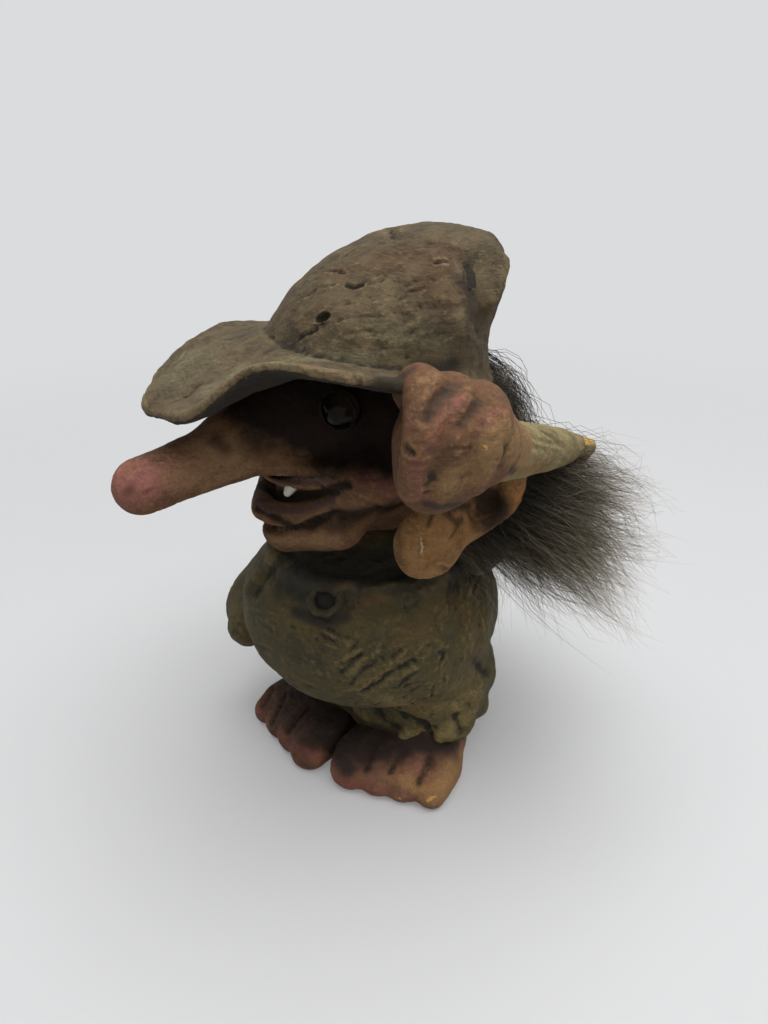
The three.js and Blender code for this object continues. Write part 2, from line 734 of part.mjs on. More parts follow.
const pegs = sides.map(([side]) => shoulderPeg(side, glueGap));
const ankles = sides.flatMap(([side]) => moved(footShape(side, glueGap), footMatrix(side)));
const trims = [waistband(), ...cuffGathers(1), ...cuffGathers(-1)];
const casting = fuse(bodyMass(0)).add(cut(fuse(trims), leftSleeve(glueGap), rightSleeve(glueGap)));
const torso = cut(casting, bodyCore(0), headInFigure, ankles, pegs, button(glueGap));
figure.add(meshOf("torso_and_trousers", torso, clothPaint));
figure.add(meshOf("trouser_button", fuse(button(0)), buttonPaint));

const footMatrices = sides.map(([side]) => footMatrix(side));
sides.forEach(([side, name], i) => {
  const foot = meshOf(`${name}_foot`, cut(fuse(footShape(side, 0)), floorBlock()), footPaint);
  foot.applyMatrix4(footMatrices[i]);
  figure.add(foot);
});

const filling = cut(fuse(bodyCore(-glueGap)), headInFigure);
const core = filling.add(fuse(moved(headCavity(-glueGap), headMatrix)));
figure.add(meshOf("foam_core", cut(core, ankles, pegs, button(glueGap)), foamYellow));

// The origin lies on the floor under the middle of the figure's box.
const middle = new THREE.Box3().setFromObject(figure, true).getCenter(new THREE.Vector3());
figure.position.set(-middle.x, -middle.y, 0);

export default figure;
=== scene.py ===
import math

import bpy
import numpy as np
from mathutils import Matrix, Vector
from mathutils.bvhtree import BVHTree


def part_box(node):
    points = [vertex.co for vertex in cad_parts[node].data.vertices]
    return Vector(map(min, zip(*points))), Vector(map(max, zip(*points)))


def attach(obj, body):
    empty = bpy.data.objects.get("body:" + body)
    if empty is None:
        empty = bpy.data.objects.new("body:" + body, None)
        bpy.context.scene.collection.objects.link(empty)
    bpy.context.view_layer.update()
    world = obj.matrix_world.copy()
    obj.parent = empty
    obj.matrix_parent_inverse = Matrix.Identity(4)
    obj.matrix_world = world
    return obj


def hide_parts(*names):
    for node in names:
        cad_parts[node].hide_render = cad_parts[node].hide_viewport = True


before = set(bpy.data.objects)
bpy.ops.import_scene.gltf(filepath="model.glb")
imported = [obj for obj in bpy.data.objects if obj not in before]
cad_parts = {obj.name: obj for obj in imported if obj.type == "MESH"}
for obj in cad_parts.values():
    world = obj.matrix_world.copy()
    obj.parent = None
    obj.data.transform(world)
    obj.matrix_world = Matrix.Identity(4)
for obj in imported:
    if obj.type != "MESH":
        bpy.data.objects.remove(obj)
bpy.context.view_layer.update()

# Lengths here are millimetres in the sculptor's frame: the figure stands on z = 0, its body faces -y, and the
# neck is at the middle. The head's own frame is turned about the neck. toMetres() goes to the CAD frame.
headTurn = math.radians(30)
headShift = np.array([7.172, 8.586, 0.0])  # the CAD frame's origin in the sculptor's frame
scale = 0.001
coarse = 1.0

photo = {"azimuth": 30, "pitch": 27, "away": 191, "height": 166, "focal": 829, "width": 768, "tall": 1024}


def toMetres(points):
    return (np.asarray(points, float) - headShift) * scale


def turnHead(points, back=False):
    c, s = math.cos(headTurn), math.sin(headTurn) * (-1 if back else 1)
    x, y, z = np.asarray(points, float).T
    return np.stack([x * c + y * s, y * c - x * s, z], 1)


# The photographed view, used for the camera and to place marks that the photo shows
azimuth, pitch = math.radians(photo["azimuth"]), math.radians(photo["pitch"])
viewFlat = np.array([-math.sin(azimuth), math.cos(azimuth), 0])
viewRight = np.array([math.cos(azimuth), math.sin(azimuth), 0])
viewLook = viewFlat * math.cos(pitch) - np.array([0, 0, math.sin(pitch)])
viewDown = -viewFlat * math.sin(pitch) - np.array([0, 0, math.cos(pitch)])
viewEye = -viewFlat * photo["away"] + np.array([0, 0, photo["height"]])


def unit(way):
    way = np.asarray(way, float)
    return way / np.linalg.norm(way)


def photoRay(u, v):
    way = viewLook + viewRight * (u - photo["width"] / 2) / photo["focal"]
    return unit(way + viewDown * (v - photo["tall"] / 2) / photo["focal"])


# Distance fields: negative inside, arrays of points in millimetres

def ballField(p, at, half):
    half = np.asarray(half, float)
    q = (p - np.asarray(at, float)) / half
    near = np.sqrt((q * q).sum(1)) + 1e-6
    slope = np.sqrt(((q / half) ** 2).sum(1)) + 1e-6 / half.max()
    return near * (near - 1) / slope


def smoothPath(points, values, steps):
    points = np.asarray(points, float)
    values = np.asarray(values, float)
    rows = np.column_stack([points, values])
    padded = np.vstack([2 * rows[0] - rows[1], rows, 2 * rows[-1] - rows[-2]])
    out = [rows[0]]
    for i in range(len(rows) - 1):
        a, b, c, d = padded[i:i + 4]
        for k in range(1, steps + 1):
            t = k / steps
            out.append(0.5 * (2 * b + (c - a) * t + (2 * a - 5 * b + 4 * c - d) * t * t
                              + (3 * b - a - 3 * c + d) * t ** 3))
    out = np.array(out)
    return out[:, :3], out[:, 3]


def tubeField(p, points, radii, steps=4):
    path, size = smoothPath(points, radii, steps)
    best = np.full(len(p), 1e9)
    for a, b, ra, rb in zip(path, path[1:], size, size[1:]):
        way = b - a
        t = np.clip((p - a) @ way / (way @ way), 0, 1)
        best = np.minimum(best, np.linalg.norm(p - a - t[:, None] * way, axis=1) - ra - (rb - ra) * t)
    return best


def ringField(p, at, axis, radius, thick, lift=0.0):
    q = p - np.asarray(at, float)
    axis = unit(axis)
    up = q @ axis
    out = np.linalg.norm(q - up[:, None] * axis, axis=1)
    return np.hypot(out - radius, up - lift) - thick


def meld(soft, *fields):
    whole = fields[0]
    for one in fields[1:]:
        h = np.clip(0.5 + 0.5 * (whole - one) / soft, 0, 1)
        whole = whole + (one - whole) * h - soft * h * (1 - h)
    return whole


def carve(soft, whole, cutter):
    return -meld(soft, -whole, cutter)


def softStep(low, high, values):
    t = np.clip((values - low) / (high - low), 0, 1)
    return t * t * (3 - 2 * t)


# A skin over a field: one point for each crossed cell near the surface, then settled on the field

def inParts(field, points, part=150000):
    return np.concatenate([field(points[i:i + part]) for i in range(0, len(points), part)])


def settle(field, points, rounds=2):
    eps, longest = 0.04, 0.6
    for _ in range(rounds):
        slope = np.stack([inParts(field, points + eps * e) - inParts(field, points - eps * e)
                          for e in np.eye(3)], 1) / (2 * eps)
        reach = (slope * slope).sum(1) + 1e-6
        points = points - slope * np.clip(inParts(field, points) / reach, -longest, longest)[:, None]
    return points


def skinOf(field, low, high, step):
    step = step * coarse
    block, reach = 4, 7.5  # cells along a block, and how near a block has to be, in steps
    low = np.asarray(low, float)
    blocks = np.ceil((np.asarray(high, float) - low) / step / block).astype(int)
    axes = [low[i] + np.arange(blocks[i] + 1) * block * step for i in range(3)]
    rough = inParts(field, np.stack(np.meshgrid(*axes, indexing="ij"), -1).reshape(-1, 3)).reshape(blocks + 1)
    cuts = (slice(0, -1), slice(1, None))
    nearest = np.min([np.abs(rough[a, b, c]) for a in cuts for b in cuts for c in cuts], axis=0)
    count = blocks * block + 1
    value = np.sign(rough)
    for axis in range(3):
        value = np.repeat(value, block, axis)
    value = value[:count[0], :count[1], :count[2]] * 50.0
    wanted = np.zeros(count, bool)
    ci, cj, ck = (block * k for k in np.nonzero(nearest < reach * step))
    for i, j, k in np.ndindex(block + 1, block + 1, block + 1):
        wanted[ci + i, cj + j, ck + k] = True
    nodes = np.argwhere(wanted)
    value[wanted] = inParts(field, low + nodes * step)
    inside = value < 0
    corners = [inside[a, b, c] for a in cuts for b in cuts for c in cuts]
    mixed = np.logical_or.reduce(corners) & ~np.logical_and.reduce(corners)
    cells = np.argwhere(mixed)
    number = np.full(mixed.shape, -1)
    number[mixed] = np.arange(len(cells))
    total = np.zeros((len(cells), 3))
    hits = np.zeros(len(cells))
    for axis in range(3):
        along = np.eye(3, dtype=int)[axis]
        for side in range(4):
            start = np.zeros(3, int)
            start[(axis + 1) % 3] = side % 2
            start[(axis + 2) % 3] = side // 2
            a = value[tuple((cells + start).T)]
            b = value[tuple((cells + start + along).T)]
            crossed = (a < 0) != (b < 0)
            t = np.where(crossed, a / np.where(crossed, a - b, 1), 0)
            total += (cells + start + along * t[:, None]) * crossed[:, None]
            hits += crossed
    points = low + step * total / hits[:, None]
    faces = []
    for axis in range(3):
        along = np.eye(3, dtype=int)[axis]
        a = inside[tuple(slice(0, -1) if i == axis else slice(1, -1) for i in range(3))]
        b = inside[tuple(slice(1, None) if i == axis else slice(1, -1) for i in range(3))]
        for rising in (True, False):
            edges = np.argwhere((a != b) & (a == rising)) + 1 - along
            one, two = np.eye(3, dtype=int)[(axis + 1) % 3], np.eye(3, dtype=int)[(axis + 2) % 3]
            quad = [edges - one - two, edges - two, edges, edges - one]
            ids = np.stack([number[tuple(q.T)] for q in quad], 1)
            faces.append(ids if rising else ids[:, ::-1])
    return settle(field, points), np.vstack(faces)


def mirroredSkin(points, faces):
    return points * np.array([-1, 1, 1]), faces[:, ::-1]


# Blender objects from points and faces

def addObject(name, data):
    holder = bpy.data.objects.new(name, data)
    bpy.context.collection.objects.link(holder)
    return holder


def makeObject(name, points, faces):
    mesh = bpy.data.meshes.new(name)
    rows = [f[:3] if f[2] == f[3] else f for f in np.asarray(faces).tolist()]  # caps are triangles
    mesh.from_pydata(toMetres(points).tolist(), [], rows)
    mesh.shade_smooth()
    return addObject(name, mesh)


def bakedMesh(piece):
    mesh = bpy.data.meshes.new_from_object(piece.evaluated_get(bpy.context.evaluated_depsgraph_get()))
    bpy.data.objects.remove(piece, do_unlink=True)
    return mesh


def evenSkin(points, faces, step):
    piece = makeObject("loft", points, faces)
    modifier = piece.modifiers.new("even", "REMESH")
    modifier.mode = "VOXEL"
    modifier.voxel_size = step * coarse * scale
    mesh = bakedMesh(piece)
    place = np.empty(len(mesh.vertices) * 3)
    mesh.vertices.foreach_get("co", place)
    corners = np.array([tuple(f.vertices) + (f.vertices[-1],) * (4 - len(f.vertices)) for f in mesh.polygons])
    return relax(place.reshape(-1, 3) / scale + headShift, corners, 8), corners


def relax(points, faces, rounds, inward=0.55, outward=-0.57):
    pairs = np.vstack([faces[:, [k, (k + 1) % 4]] for k in range(4)])
    start, end = np.vstack([pairs, pairs[:, ::-1]]).T
    count = np.bincount(start, minlength=len(points))
    for k in range(rounds * 2):
        total = np.stack([np.bincount(start, points[end, i], len(points)) for i in range(3)], 1)
        points = points + (inward if k % 2 == 0 else outward) * (total / count[:, None] - points)
    return points


def normalsOf(points, faces):
    corner = [points[faces[:, k]] for k in range(4)]
    flat = np.cross(corner[2] - corner[0], corner[3] - corner[1])
    out = np.zeros_like(points)
    for k in range(4):
        np.add.at(out, faces[:, k], flat)
    return out / (np.linalg.norm(out, axis=1)[:, None] + 1e-12)


# Marks from the photo: lines are cast on the skin from the photo's camera, then pressed in or painted.
# A stroke is its width in mm, its depth in mm or amount of paint, then u and v of each pixel it runs through.

def raggedNoise(points, size, seed):
    draw = np.random.default_rng(seed)
    out = np.zeros((len(points), 3))
    for k in range(4):
        ways = draw.normal(0, 1, (3, 3)) * 2.2 / size * 1.45 ** k
        out += np.sin(points @ ways + draw.uniform(0, 6.3, 3)) * 0.5 / 1.3 ** k
    return out


class Skin:
    def __init__(self, points, faces):
        self.points = np.asarray(points, float)
        self.faces = np.asarray(faces)
        self.normals = normalsOf(self.points, self.faces)
        self.tree = BVHTree.FromPolygons(self.points.tolist(), self.faces.tolist())
        self.fine = raggedNoise(self.points, 1.5, 5)
        self.broad = raggedNoise(self.points, 7.0, 6)
        self.masks = {}

    def cast(self, pixels):
        pixels = np.asarray(pixels, float).reshape(-1, 2)
        marks = [pixels[0]]
        for a, b in zip(pixels, pixels[1:]):
            steps = max(1, int(np.linalg.norm(b - a) / 3))
            marks += [a + (b - a) * (k + 1) / steps for k in range(steps)]
        hits = [self.tree.ray_cast(Vector(viewEye), Vector(photoRay(u, v)))[0] for u, v in marks]
        return [np.array(hit) for hit in hits if hit is not None]

    def nearness(self, pixels, width):
        best = np.full(len(self.points), 9.0)
        spots = self.cast(pixels)
        if not spots:
            return best
        spots = np.array(spots + spots[-1:])
        near = np.all(
            (self.points > spots.min(0) - 4 * width) & (self.points < spots.max(0) + 4 * width), axis=1)
        here = self.points[near] + self.fine[near] * min(0.3, width * 0.3) * (width < 2)
        here = here + self.broad[near] * max(0, width - 1.2) * 0.22
        close = np.full(len(here), 1e9)
        for a, b in zip(spots, spots[1:]):
            way = b - a
            if np.linalg.norm(way) > 6:
                continue
            t = np.clip((here - a) @ way / (way @ way + 1e-9), 0, 1)
            close = np.minimum(close, np.linalg.norm(here - a - t[:, None] * way, axis=1))
        best[near] = close / width
        return best

    def press(self, strokes):
        move = np.zeros(len(self.points))
        for width, depth, *pixels in strokes:
            d = self.nearness(pixels, width)
            lip = 0.22 if width < 0.75 else 0.08  # narrow cuts throw up a burr
            uneven = self.fine[:, 0] * 0.3 if width < 1.2 else self.broad[:, 0] * 0.15
            move -= depth * (1 + uneven) * (np.exp(-d * d) - lip * np.exp(-((d - 2.0) / 0.8) ** 2))
        self.points = self.points + self.normals * move[:, None]

    def scuff(self, box, count, slant, length, width, depth, seed):
        draw = np.random.default_rng(seed)
        strokes = []
        for _ in range(count):
            middle = draw.uniform(box[:2], box[2:])
            angle = math.radians(slant + draw.normal(0, 13))
            way = np.array([math.cos(angle), math.sin(angle)]) * length * draw.uniform(0.3, 0.6)
            bend = np.array([-way[1], way[0]]) * draw.normal(0, 0.2)
            strokes.append((width * draw.uniform(0.7, 1.4), depth * draw.uniform(-0.7, 1.0), *(middle - way),
                            *(middle + bend), *(middle + way)))
        self.press(strokes)

    def paint(self, name, spots):
        mask = self.masks.setdefault(name, np.zeros(len(self.points)))
        for width, amount, *pixels in spots:
            d = self.nearness(pixels, width)
            np.maximum(mask, amount * np.exp(-d * d), out=mask)

    def cover(self, name, values):
        mask = self.masks.setdefault(name, np.zeros(len(self.points)))
        np.maximum(mask, values, out=mask)

    def object(self, name):
        piece = makeObject(name, self.points, self.faces)
        for mask in ("wash", "blush", "tint", "chip"):
            values = self.masks.get(mask, np.zeros(len(self.points)))
            layer = piece.data.attributes.new(mask, "FLOAT", "POINT")
            layer.data.foreach_set("value", values.astype(np.float32))
        return piece


# Geometry Nodes

def addSockets(tree, side, sockets):
    for kind, labels in sockets.items():
        for label in labels:
            tree.interface.new_socket(name=label, in_out=side, socket_type="NodeSocket" + kind)


def newTree(name, sockets):
    tree = bpy.data.node_groups.new(name, "GeometryNodeTree")
    addSockets(tree, "INPUT", sockets)
    addSockets(tree, "OUTPUT", {"Geometry": ["Geometry"]})
    return tree


def setInputs(tree, node, inputs):
    for key, value in inputs.items():
        if isinstance(value, bpy.types.NodeSocket):
            tree.links.new(value, node.inputs[key])
        else:
            node.inputs[key].default_value = value


def addNode(tree, kind, inputs=None, **settings):
    node = tree.nodes.new(kind)
    for key, value in settings.items():
        setattr(node, key, value)
    setInputs(tree, node, inputs or {})
    return node


def math2(tree, operation, a, b=0.0):
    return addNode(tree, "ShaderNodeMath", {0: a, 1: b}, operation=operation).outputs[0]


def sums(tree):
    def one(operation):
        return lambda a, b: math2(tree, operation, a, b)
    return one("ADD"), one("SUBTRACT"), one("MULTIPLY")


def vector2(tree, operation, a, b=None, factor=None):
    inputs = {0: a}
    if b is not None:
        inputs[1] = b
    if factor is not None:
        inputs["Scale"] = factor
    node = addNode(tree, "ShaderNodeVectorMath", inputs, operation=operation)
    return node.outputs["Value"] if operation in ("DOT_PRODUCT", "LENGTH") else node.outputs["Vector"]


def cloudNoise(tree, vector, size, detail=2.0, rough=0.5):
    inputs = {"Vector": vector, "Scale": size, "Detail": detail, "Roughness": rough}
    return addNode(tree, "ShaderNodeTexNoise", inputs).outputs[0]


def smoothRange(tree, value, low, high, start=0.0, end=1.0):
    inputs = {0: value, 1: low, 2: high, 3: start, 4: end}
    return addNode(tree, "ShaderNodeMapRange", inputs, interpolation_type="SMOOTHSTEP").outputs[0]


def mixColours(tree, factor, a, b):
    return addNode(tree, "ShaderNodeMix", {0: factor, 6: a, 7: b}, data_type="RGBA").outputs[2]


def storeField(tree, geometry, name, value):
    inputs = {"Geometry": geometry, "Name": name, "Value": value}
    kind = "GeometryNodeStoreNamedAttribute"
    return addNode(tree, kind, inputs, data_type="FLOAT", domain="POINT").outputs[0]


def finishTree(tree, geometry, material):
    smooth = addNode(tree, "GeometryNodeSetShadeSmooth", {"Geometry": geometry, "Shade Smooth": True})
    real = addNode(tree, "GeometryNodeRealizeInstances", {"Geometry": smooth.outputs[0]})
    painted = addNode(tree, "GeometryNodeSetMaterial", {"Geometry": real.outputs[0], "Material": material})
    addNode(tree, "NodeGroupOutput", {0: painted.outputs[0]})
    return tree


def growTree(piece, tree, values):
    modifier = piece.modifiers.new(tree.name, "NODES")
    modifier.node_group = tree
    for item in tree.interface.items_tree:
        if item.in_out == "INPUT" and item.name in values:
            modifier[item.identifier] = values[item.name]
    return modifier


def bake(piece, name):
    mesh = bakedMesh(piece)
    mesh.name = name
    return addObject(name, mesh)


reliefLabels = ["Lump Scale", "Lump Depth", "Pit Scale", "Pit Depth", "Grain Scale", "Grain Depth", "Seed"]


def castReliefTree():
    tree = newTree("castRelief", {
        "Geometry": ["Geometry"], "Material": ["Material"],
        "Float": reliefLabels})
    given = tree.nodes.new("NodeGroupInput").outputs
    plus, minus, times = sums(tree)
    place = tree.nodes.new("GeometryNodeInputPosition").outputs[0]
    facing = tree.nodes.new("GeometryNodeInputNormal").outputs[0]
    where = vector2(tree, "ADD", vector2(tree, "SCALE", place, factor=1000.0), given["Seed"])
    lump = times(minus(cloudNoise(tree, where, given["Lump Scale"], 3.0), 0.5), given["Lump Depth"])
    pitMask = smoothRange(tree, cloudNoise(tree, where, given["Pit Scale"], 2.0, 0.6), 0.34, 0.46, -1.0, 0.0)
    pit = times(pitMask, given["Pit Depth"])
    grain = times(minus(cloudNoise(tree, where, given["Grain Scale"], 4.0, 0.6), 0.5), given["Grain Depth"])
    depth = plus(plus(lump, pit), grain)
    offset = vector2(tree, "SCALE", facing, factor=times(depth, 0.001))
    moved = addNode(tree, "GeometryNodeSetPosition", {"Geometry": given["Geometry"], "Offset": offset})
    geometry = moved.outputs[0]
    # how hollow the skin is here, fine and broad: hollows are darkened with the paint's dark wash together
    # with painted shade, and ridges get dry brushing
    for label, rounds, gain in (("hollow", 6, 4200.0), ("deep", 45, 700.0)):
        even = addNode(tree, "GeometryNodeBlurAttribute", {"Value": place, "Iterations": rounds},
                       data_type="FLOAT_VECTOR").outputs[0]
        rise = vector2(tree, "DOT_PRODUCT", vector2(tree, "SUBTRACT", even, place), facing)
        geometry = storeField(tree, geometry, label, times(rise, gain))
    return finishTree(tree, geometry, given["Material"])


def hairTree():
    tree = newTree("hairLocks", {
        "Geometry": ["Geometry"], "Int": ["Hairs", "Seed"], "Material": ["Material"],
        "Float": ["Spread", "Root Share", "Frizz", "Shortest", "Thickness"]})
    given = tree.nodes.new("NodeGroupInput").outputs
    plus, minus, times = sums(tree)
    spaced = addNode(tree, "GeometryNodeResampleCurve", {"Curve": given["Geometry"], "Count": 8})
    many = addNode(tree, "GeometryNodeDuplicateElements",
                   {"Geometry": spaced.outputs[0], "Amount": given["Hairs"]}, domain="SPLINE")
    number = tree.nodes.new("GeometryNodeInputIndex").outputs[0]

    def draw(kind, low, high, shift):
        inputs = {"Seed": plus(given["Seed"], float(shift)), "ID": number}
        node = addNode(tree, "FunctionNodeRandomValue", inputs, data_type=kind)
        first, out = (0, 0) if kind == "FLOAT_VECTOR" else (2, 1)
        setInputs(tree, node, {first: low, first + 1: high})
        held = {0: node.outputs[out]}
        return addNode(tree, "GeometryNodeFieldOnDomain", held, data_type=kind, domain="CURVE").outputs[0]

    trimmed = addNode(
        tree, "GeometryNodeTrimCurve",
        {"Curve": many.outputs[0], "End": draw("FLOAT", given["Shortest"], 1.0, 1)}, mode="FACTOR")
    even = addNode(tree, "GeometryNodeResampleCurve", {"Curve": trimmed.outputs[0], "Count": 6})
    along = tree.nodes.new("GeometryNodeSplineParameter").outputs["Factor"]
    tangent = tree.nodes.new("GeometryNodeInputTangent").outputs[0]
    place = tree.nodes.new("GeometryNodeInputPosition").outputs[0]
    lean = vector2(tree, "ADD", draw("FLOAT_VECTOR", (-1, -1, -1), (1, 1, 1), 2),
                   draw("FLOAT_VECTOR", (-1, -1, -1), (1, 1, 1), 3))
    forward = vector2(tree, "SCALE", tangent, factor=vector2(tree, "DOT_PRODUCT", lean, tangent))
    across = vector2(tree, "SUBTRACT", lean, forward)
    # locks are tight at the root, swell, then draw together towards their tips
    swell = times(times(along, minus(1.0, along)), 4.0)
    share = plus(given["Root Share"], times(swell, minus(1.0, given["Root Share"])))
    wide = times(times(share, given["Spread"]), 0.0006)
    drift = draw("FLOAT_VECTOR", (0, 0, 0), (90, 90, 90), 4)
    spot = vector2(tree, "ADD", vector2(tree, "SCALE", place, factor=45.0), drift)
    curl = addNode(tree, "ShaderNodeTexNoise", {"Vector": spot, "Scale": 1.0, "Detail": 1.5}).outputs["Color"]
    waver = vector2(tree, "SCALE", vector2(tree, "SUBTRACT", curl, (0.5, 0.5, 0.5)),
                    factor=times(times(along, given["Frizz"]), 0.002))
    offset = vector2(tree, "ADD", vector2(tree, "SCALE", across, factor=wide), waver)
    moved = addNode(tree, "GeometryNodeSetPosition", {"Geometry": even.outputs[0], "Offset": offset})
    toned = storeField(tree, moved.outputs[0], "hairTone", draw("FLOAT", 0.0, 1.0, 5))
    measured = storeField(tree, toned, "alongHair", along)
    taper = minus(1.0, times(math2(tree, "POWER", along, 2.0), 0.8))
    thick = times(times(taper, given["Thickness"]), 0.001)
    section = addNode(tree, "GeometryNodeCurvePrimitiveCircle", {"Resolution": 3, "Radius": 1.0})
    tubes = addNode(tree, "GeometryNodeCurveToMesh", {
        "Curve": measured, "Profile Curve": section.outputs[0], "Scale": thick, "Fill Caps": True})
    return finishTree(tree, tubes.outputs[0], given["Material"])


# Paint

def srgb(*colour):
    return tuple(v / 255 / 12.92 if v <= 10 else ((v / 255 + 0.055) / 1.055) ** 2.4 for v in colour) + (1.0,)


# the wash mask, the wash colour and the wash amount lay the paint's dark wash and painted shade alike
paintMasks = ["hollow", "deep", "wash", "blush", "tint", "chip"]
paintCoats = ["Main", "Other", "Wash", "Worn", "Blush", "Tint", "Chip"]
paintAmounts = ["Mottle Scale", "Wash And Shade Amount", "Worn Amount", "Streak Amount", "Crack Amount"]


def castPaintGroup():
    tree = bpy.data.node_groups.new("castPaint", "ShaderNodeTree")
    masks = [mask.title() + " Mask" for mask in paintMasks]
    addSockets(tree, "INPUT", {"Vector": ["Vector"], "Color": paintCoats, "Float": masks + paintAmounts})
    addSockets(tree, "OUTPUT", {"Color": ["Color"], "Float": ["Roughness", "Height"]})
    given = tree.nodes.new("NodeGroupInput").outputs
    plus, minus, times = sums(tree)
    where = vector2(tree, "SCALE", given["Vector"], factor=1000.0)

    def noise(vector, size, detail, rough):
        return cloudNoise(tree, vector, size, detail, rough)

    def ramp(value, low, high):
        return smoothRange(tree, value, low, high)

    def mix(factor, a, b):
        return mixColours(tree, factor, a, b)

    mottle = noise(where, given["Mottle Scale"], 6.0, 0.65)
    patch = noise(vector2(tree, "ADD", where, (71.0, 5.0, 23.0)), times(given["Mottle Scale"], 3.0),
                  6.0, 0.7)
    speck = noise(where, 1.3, 6.0, 0.78)
    bristle = noise(vector2(tree, "MULTIPLY", where, (0.3, 0.3, 4.2)), 1.0, 4.0, 0.65)
    glaze = noise(vector2(tree, "ADD", where, (31.0, 17.0, 53.0)), times(given["Mottle Scale"], 0.6),
                  7.0, 0.7)
    both = plus(times(mottle, 0.6), times(patch, 0.4))
    colour = mix(ramp(both, 0.38, 0.62), given["Main"], given["Other"])
    colour = mix(times(ramp(glaze, 0.5, 0.74), 0.6), colour, given["Wash"])
    tone = plus(times(minus(speck, 0.5), 1.3), times(minus(bristle, 0.5), given["Streak Amount"]))
    tone = plus(tone, times(minus(patch, 0.5), 0.7))
    uneven = minus(both, 0.5)

    def layer(mask, gain, low=0.15, high=0.95):
        ragged = plus(mask, times(plus(uneven, tone), gain))
        return ramp(ragged, low, high)

    colour = mix(times(layer(given["Blush Mask"], 0.5), 0.8), colour, given["Blush"])
    colour = mix(times(layer(given["Tint Mask"], 0.6), 0.8), colour, given["Tint"])
    worn = minus(times(given["Hollow Mask"], -1.0), 0.12)
    worn = plus(worn, times(tone, 1.1))
    colour = mix(times(ramp(worn, 0.0, 1.0), given["Worn Amount"]), colour, given["Worn"])
    # darker in hollows and under the wash mask: the paint's dark wash together with painted shade
    hollowWashAndShade = plus(given["Hollow Mask"], given["Deep Mask"])
    hollowWashAndShade = plus(times(hollowWashAndShade, given["Wash And Shade Amount"]), times(plus(uneven, tone), 0.4))
    washAndShade = math2(tree, "MAXIMUM", ramp(hollowWashAndShade, 0.15, 1.2), layer(given["Wash Mask"], 0.45, 0.1, 1.05))
    colour = mix(times(washAndShade, 0.92), colour, given["Wash"])
    colour = mix(layer(given["Chip Mask"], 0.9, 0.45, 0.62), colour, given["Chip"])
    hair = noise(vector2(tree, "MULTIPLY", where, (0.22, 0.22, 1.7)), 1.0, 5.0, 0.7)
    line = math2(tree, "ABSOLUTE", minus(hair, 0.5))
    crack = minus(1.0, ramp(line, 0.0, 0.022))
    crack = times(times(crack, ramp(mottle, 0.42, 0.6)), given["Crack Amount"])
    colour = mix(crack, colour, given["Wash"])
    bright = addNode(tree, "ShaderNodeHueSaturation",
                     {"Value": plus(times(tone, 0.9), 1.0), "Color": colour})
    rough = plus(times(speck, 0.3), 0.55)
    height = plus(times(speck, 1.1), times(bristle, 0.5))
    height = plus(height, patch)
    height = minus(height, times(crack, 0.5))
    addNode(tree, "NodeGroupOutput", {"Color": bright.outputs[0], "Roughness": rough, "Height": height})
    return tree


castPaint = castPaintGroup()
castRelief = castReliefTree()
hairLocks = hairTree()


def newMaterial(name):
    material = bpy.data.materials.new(name)
    material.use_nodes = True
    tree = material.node_tree
    shader = tree.nodes["Principled BSDF"]
    return material, tree, shader


def paintMaterial(name, coats, amounts, bump=0.5, shine=0.25):
    material, tree, shader = newMaterial(name)
    spot = tree.nodes.new("ShaderNodeTexCoord").outputs["Object"]
    inputs = {"Vector": spot, **dict(zip(paintAmounts, amounts))}
    for mask in paintMasks:
        field = addNode(tree, "ShaderNodeAttribute", attribute_name=mask)
        inputs[mask.title() + " Mask"] = field.outputs["Fac"]
    for label, colour in zip(paintCoats, coats):
        inputs[label] = srgb(*colour)
    group = tree.nodes.new("ShaderNodeGroup")
    group.node_tree = castPaint
    setInputs(tree, group, inputs)
    relief = addNode(tree, "ShaderNodeBump", {
        "Strength": bump, "Distance": 0.0006, "Height": group.outputs["Height"]})
    setInputs(tree, shader, {
        "Base Color": group.outputs["Color"], "Roughness": group.outputs["Roughness"],
        "Normal": relief.outputs[0], "Specular IOR Level": shine})
    return material


yellowRubber = (222, 176, 92)
hatPaint = paintMaterial(
    "hatPaint", [(116, 100, 74), (92, 80, 60), (42, 37, 31), (152, 132, 98),
                 (134, 128, 96), (100, 76, 54), (158, 110, 62)],
    [0.16, 0.9, 0.7, 0.5, 0.5], bump=0.8)
# the face's near-black wash colour also paints the shade under the brim
facePaint = paintMaterial(
    "facePaint", [(130, 96, 68), (104, 79, 58), (11, 10, 11), (154, 116, 82),
                  (164, 108, 100), (152, 119, 86), (98, 76, 70)],
    [0.2, 0.8, 0.5, 0.5, 0.35], shine=0.1)
fistPaint = paintMaterial(
    "fistPaint", [(118, 82, 56), (106, 78, 56), (56, 48, 42), (156, 118, 82),
                  (150, 95, 85), (156, 124, 84), (214, 160, 88)],
    [0.2, 0.9, 0.6, 0.5, 0.45])
earPaint = paintMaterial(
    "earPaint", [(162, 120, 74), (142, 104, 62), (38, 30, 25), (186, 146, 96),
                 (176, 116, 62), (190, 170, 140), (206, 186, 156)],
    [0.25, 0.8, 0.6, 0.7, 0.5])
# the cloth's tint colour is a lighter cloth that the torso wears as a painted highlight on the hem
clothPaint = paintMaterial(
    "clothPaint", [(96, 83, 51), (74, 70, 48), (37, 36, 33), (140, 120, 76),
                   (122, 84, 46), (150, 130, 86), yellowRubber],
    [0.14, 0.9, 0.55, 0.5, 0.3])
footPaint = paintMaterial(
    "footPaint", [(150, 104, 80), (126, 90, 70), (24, 21, 20), (164, 116, 86),
                  (154, 94, 80), (166, 128, 82), yellowRubber],
    [0.2, 0.9, 0.5, 0.4, 0.35])


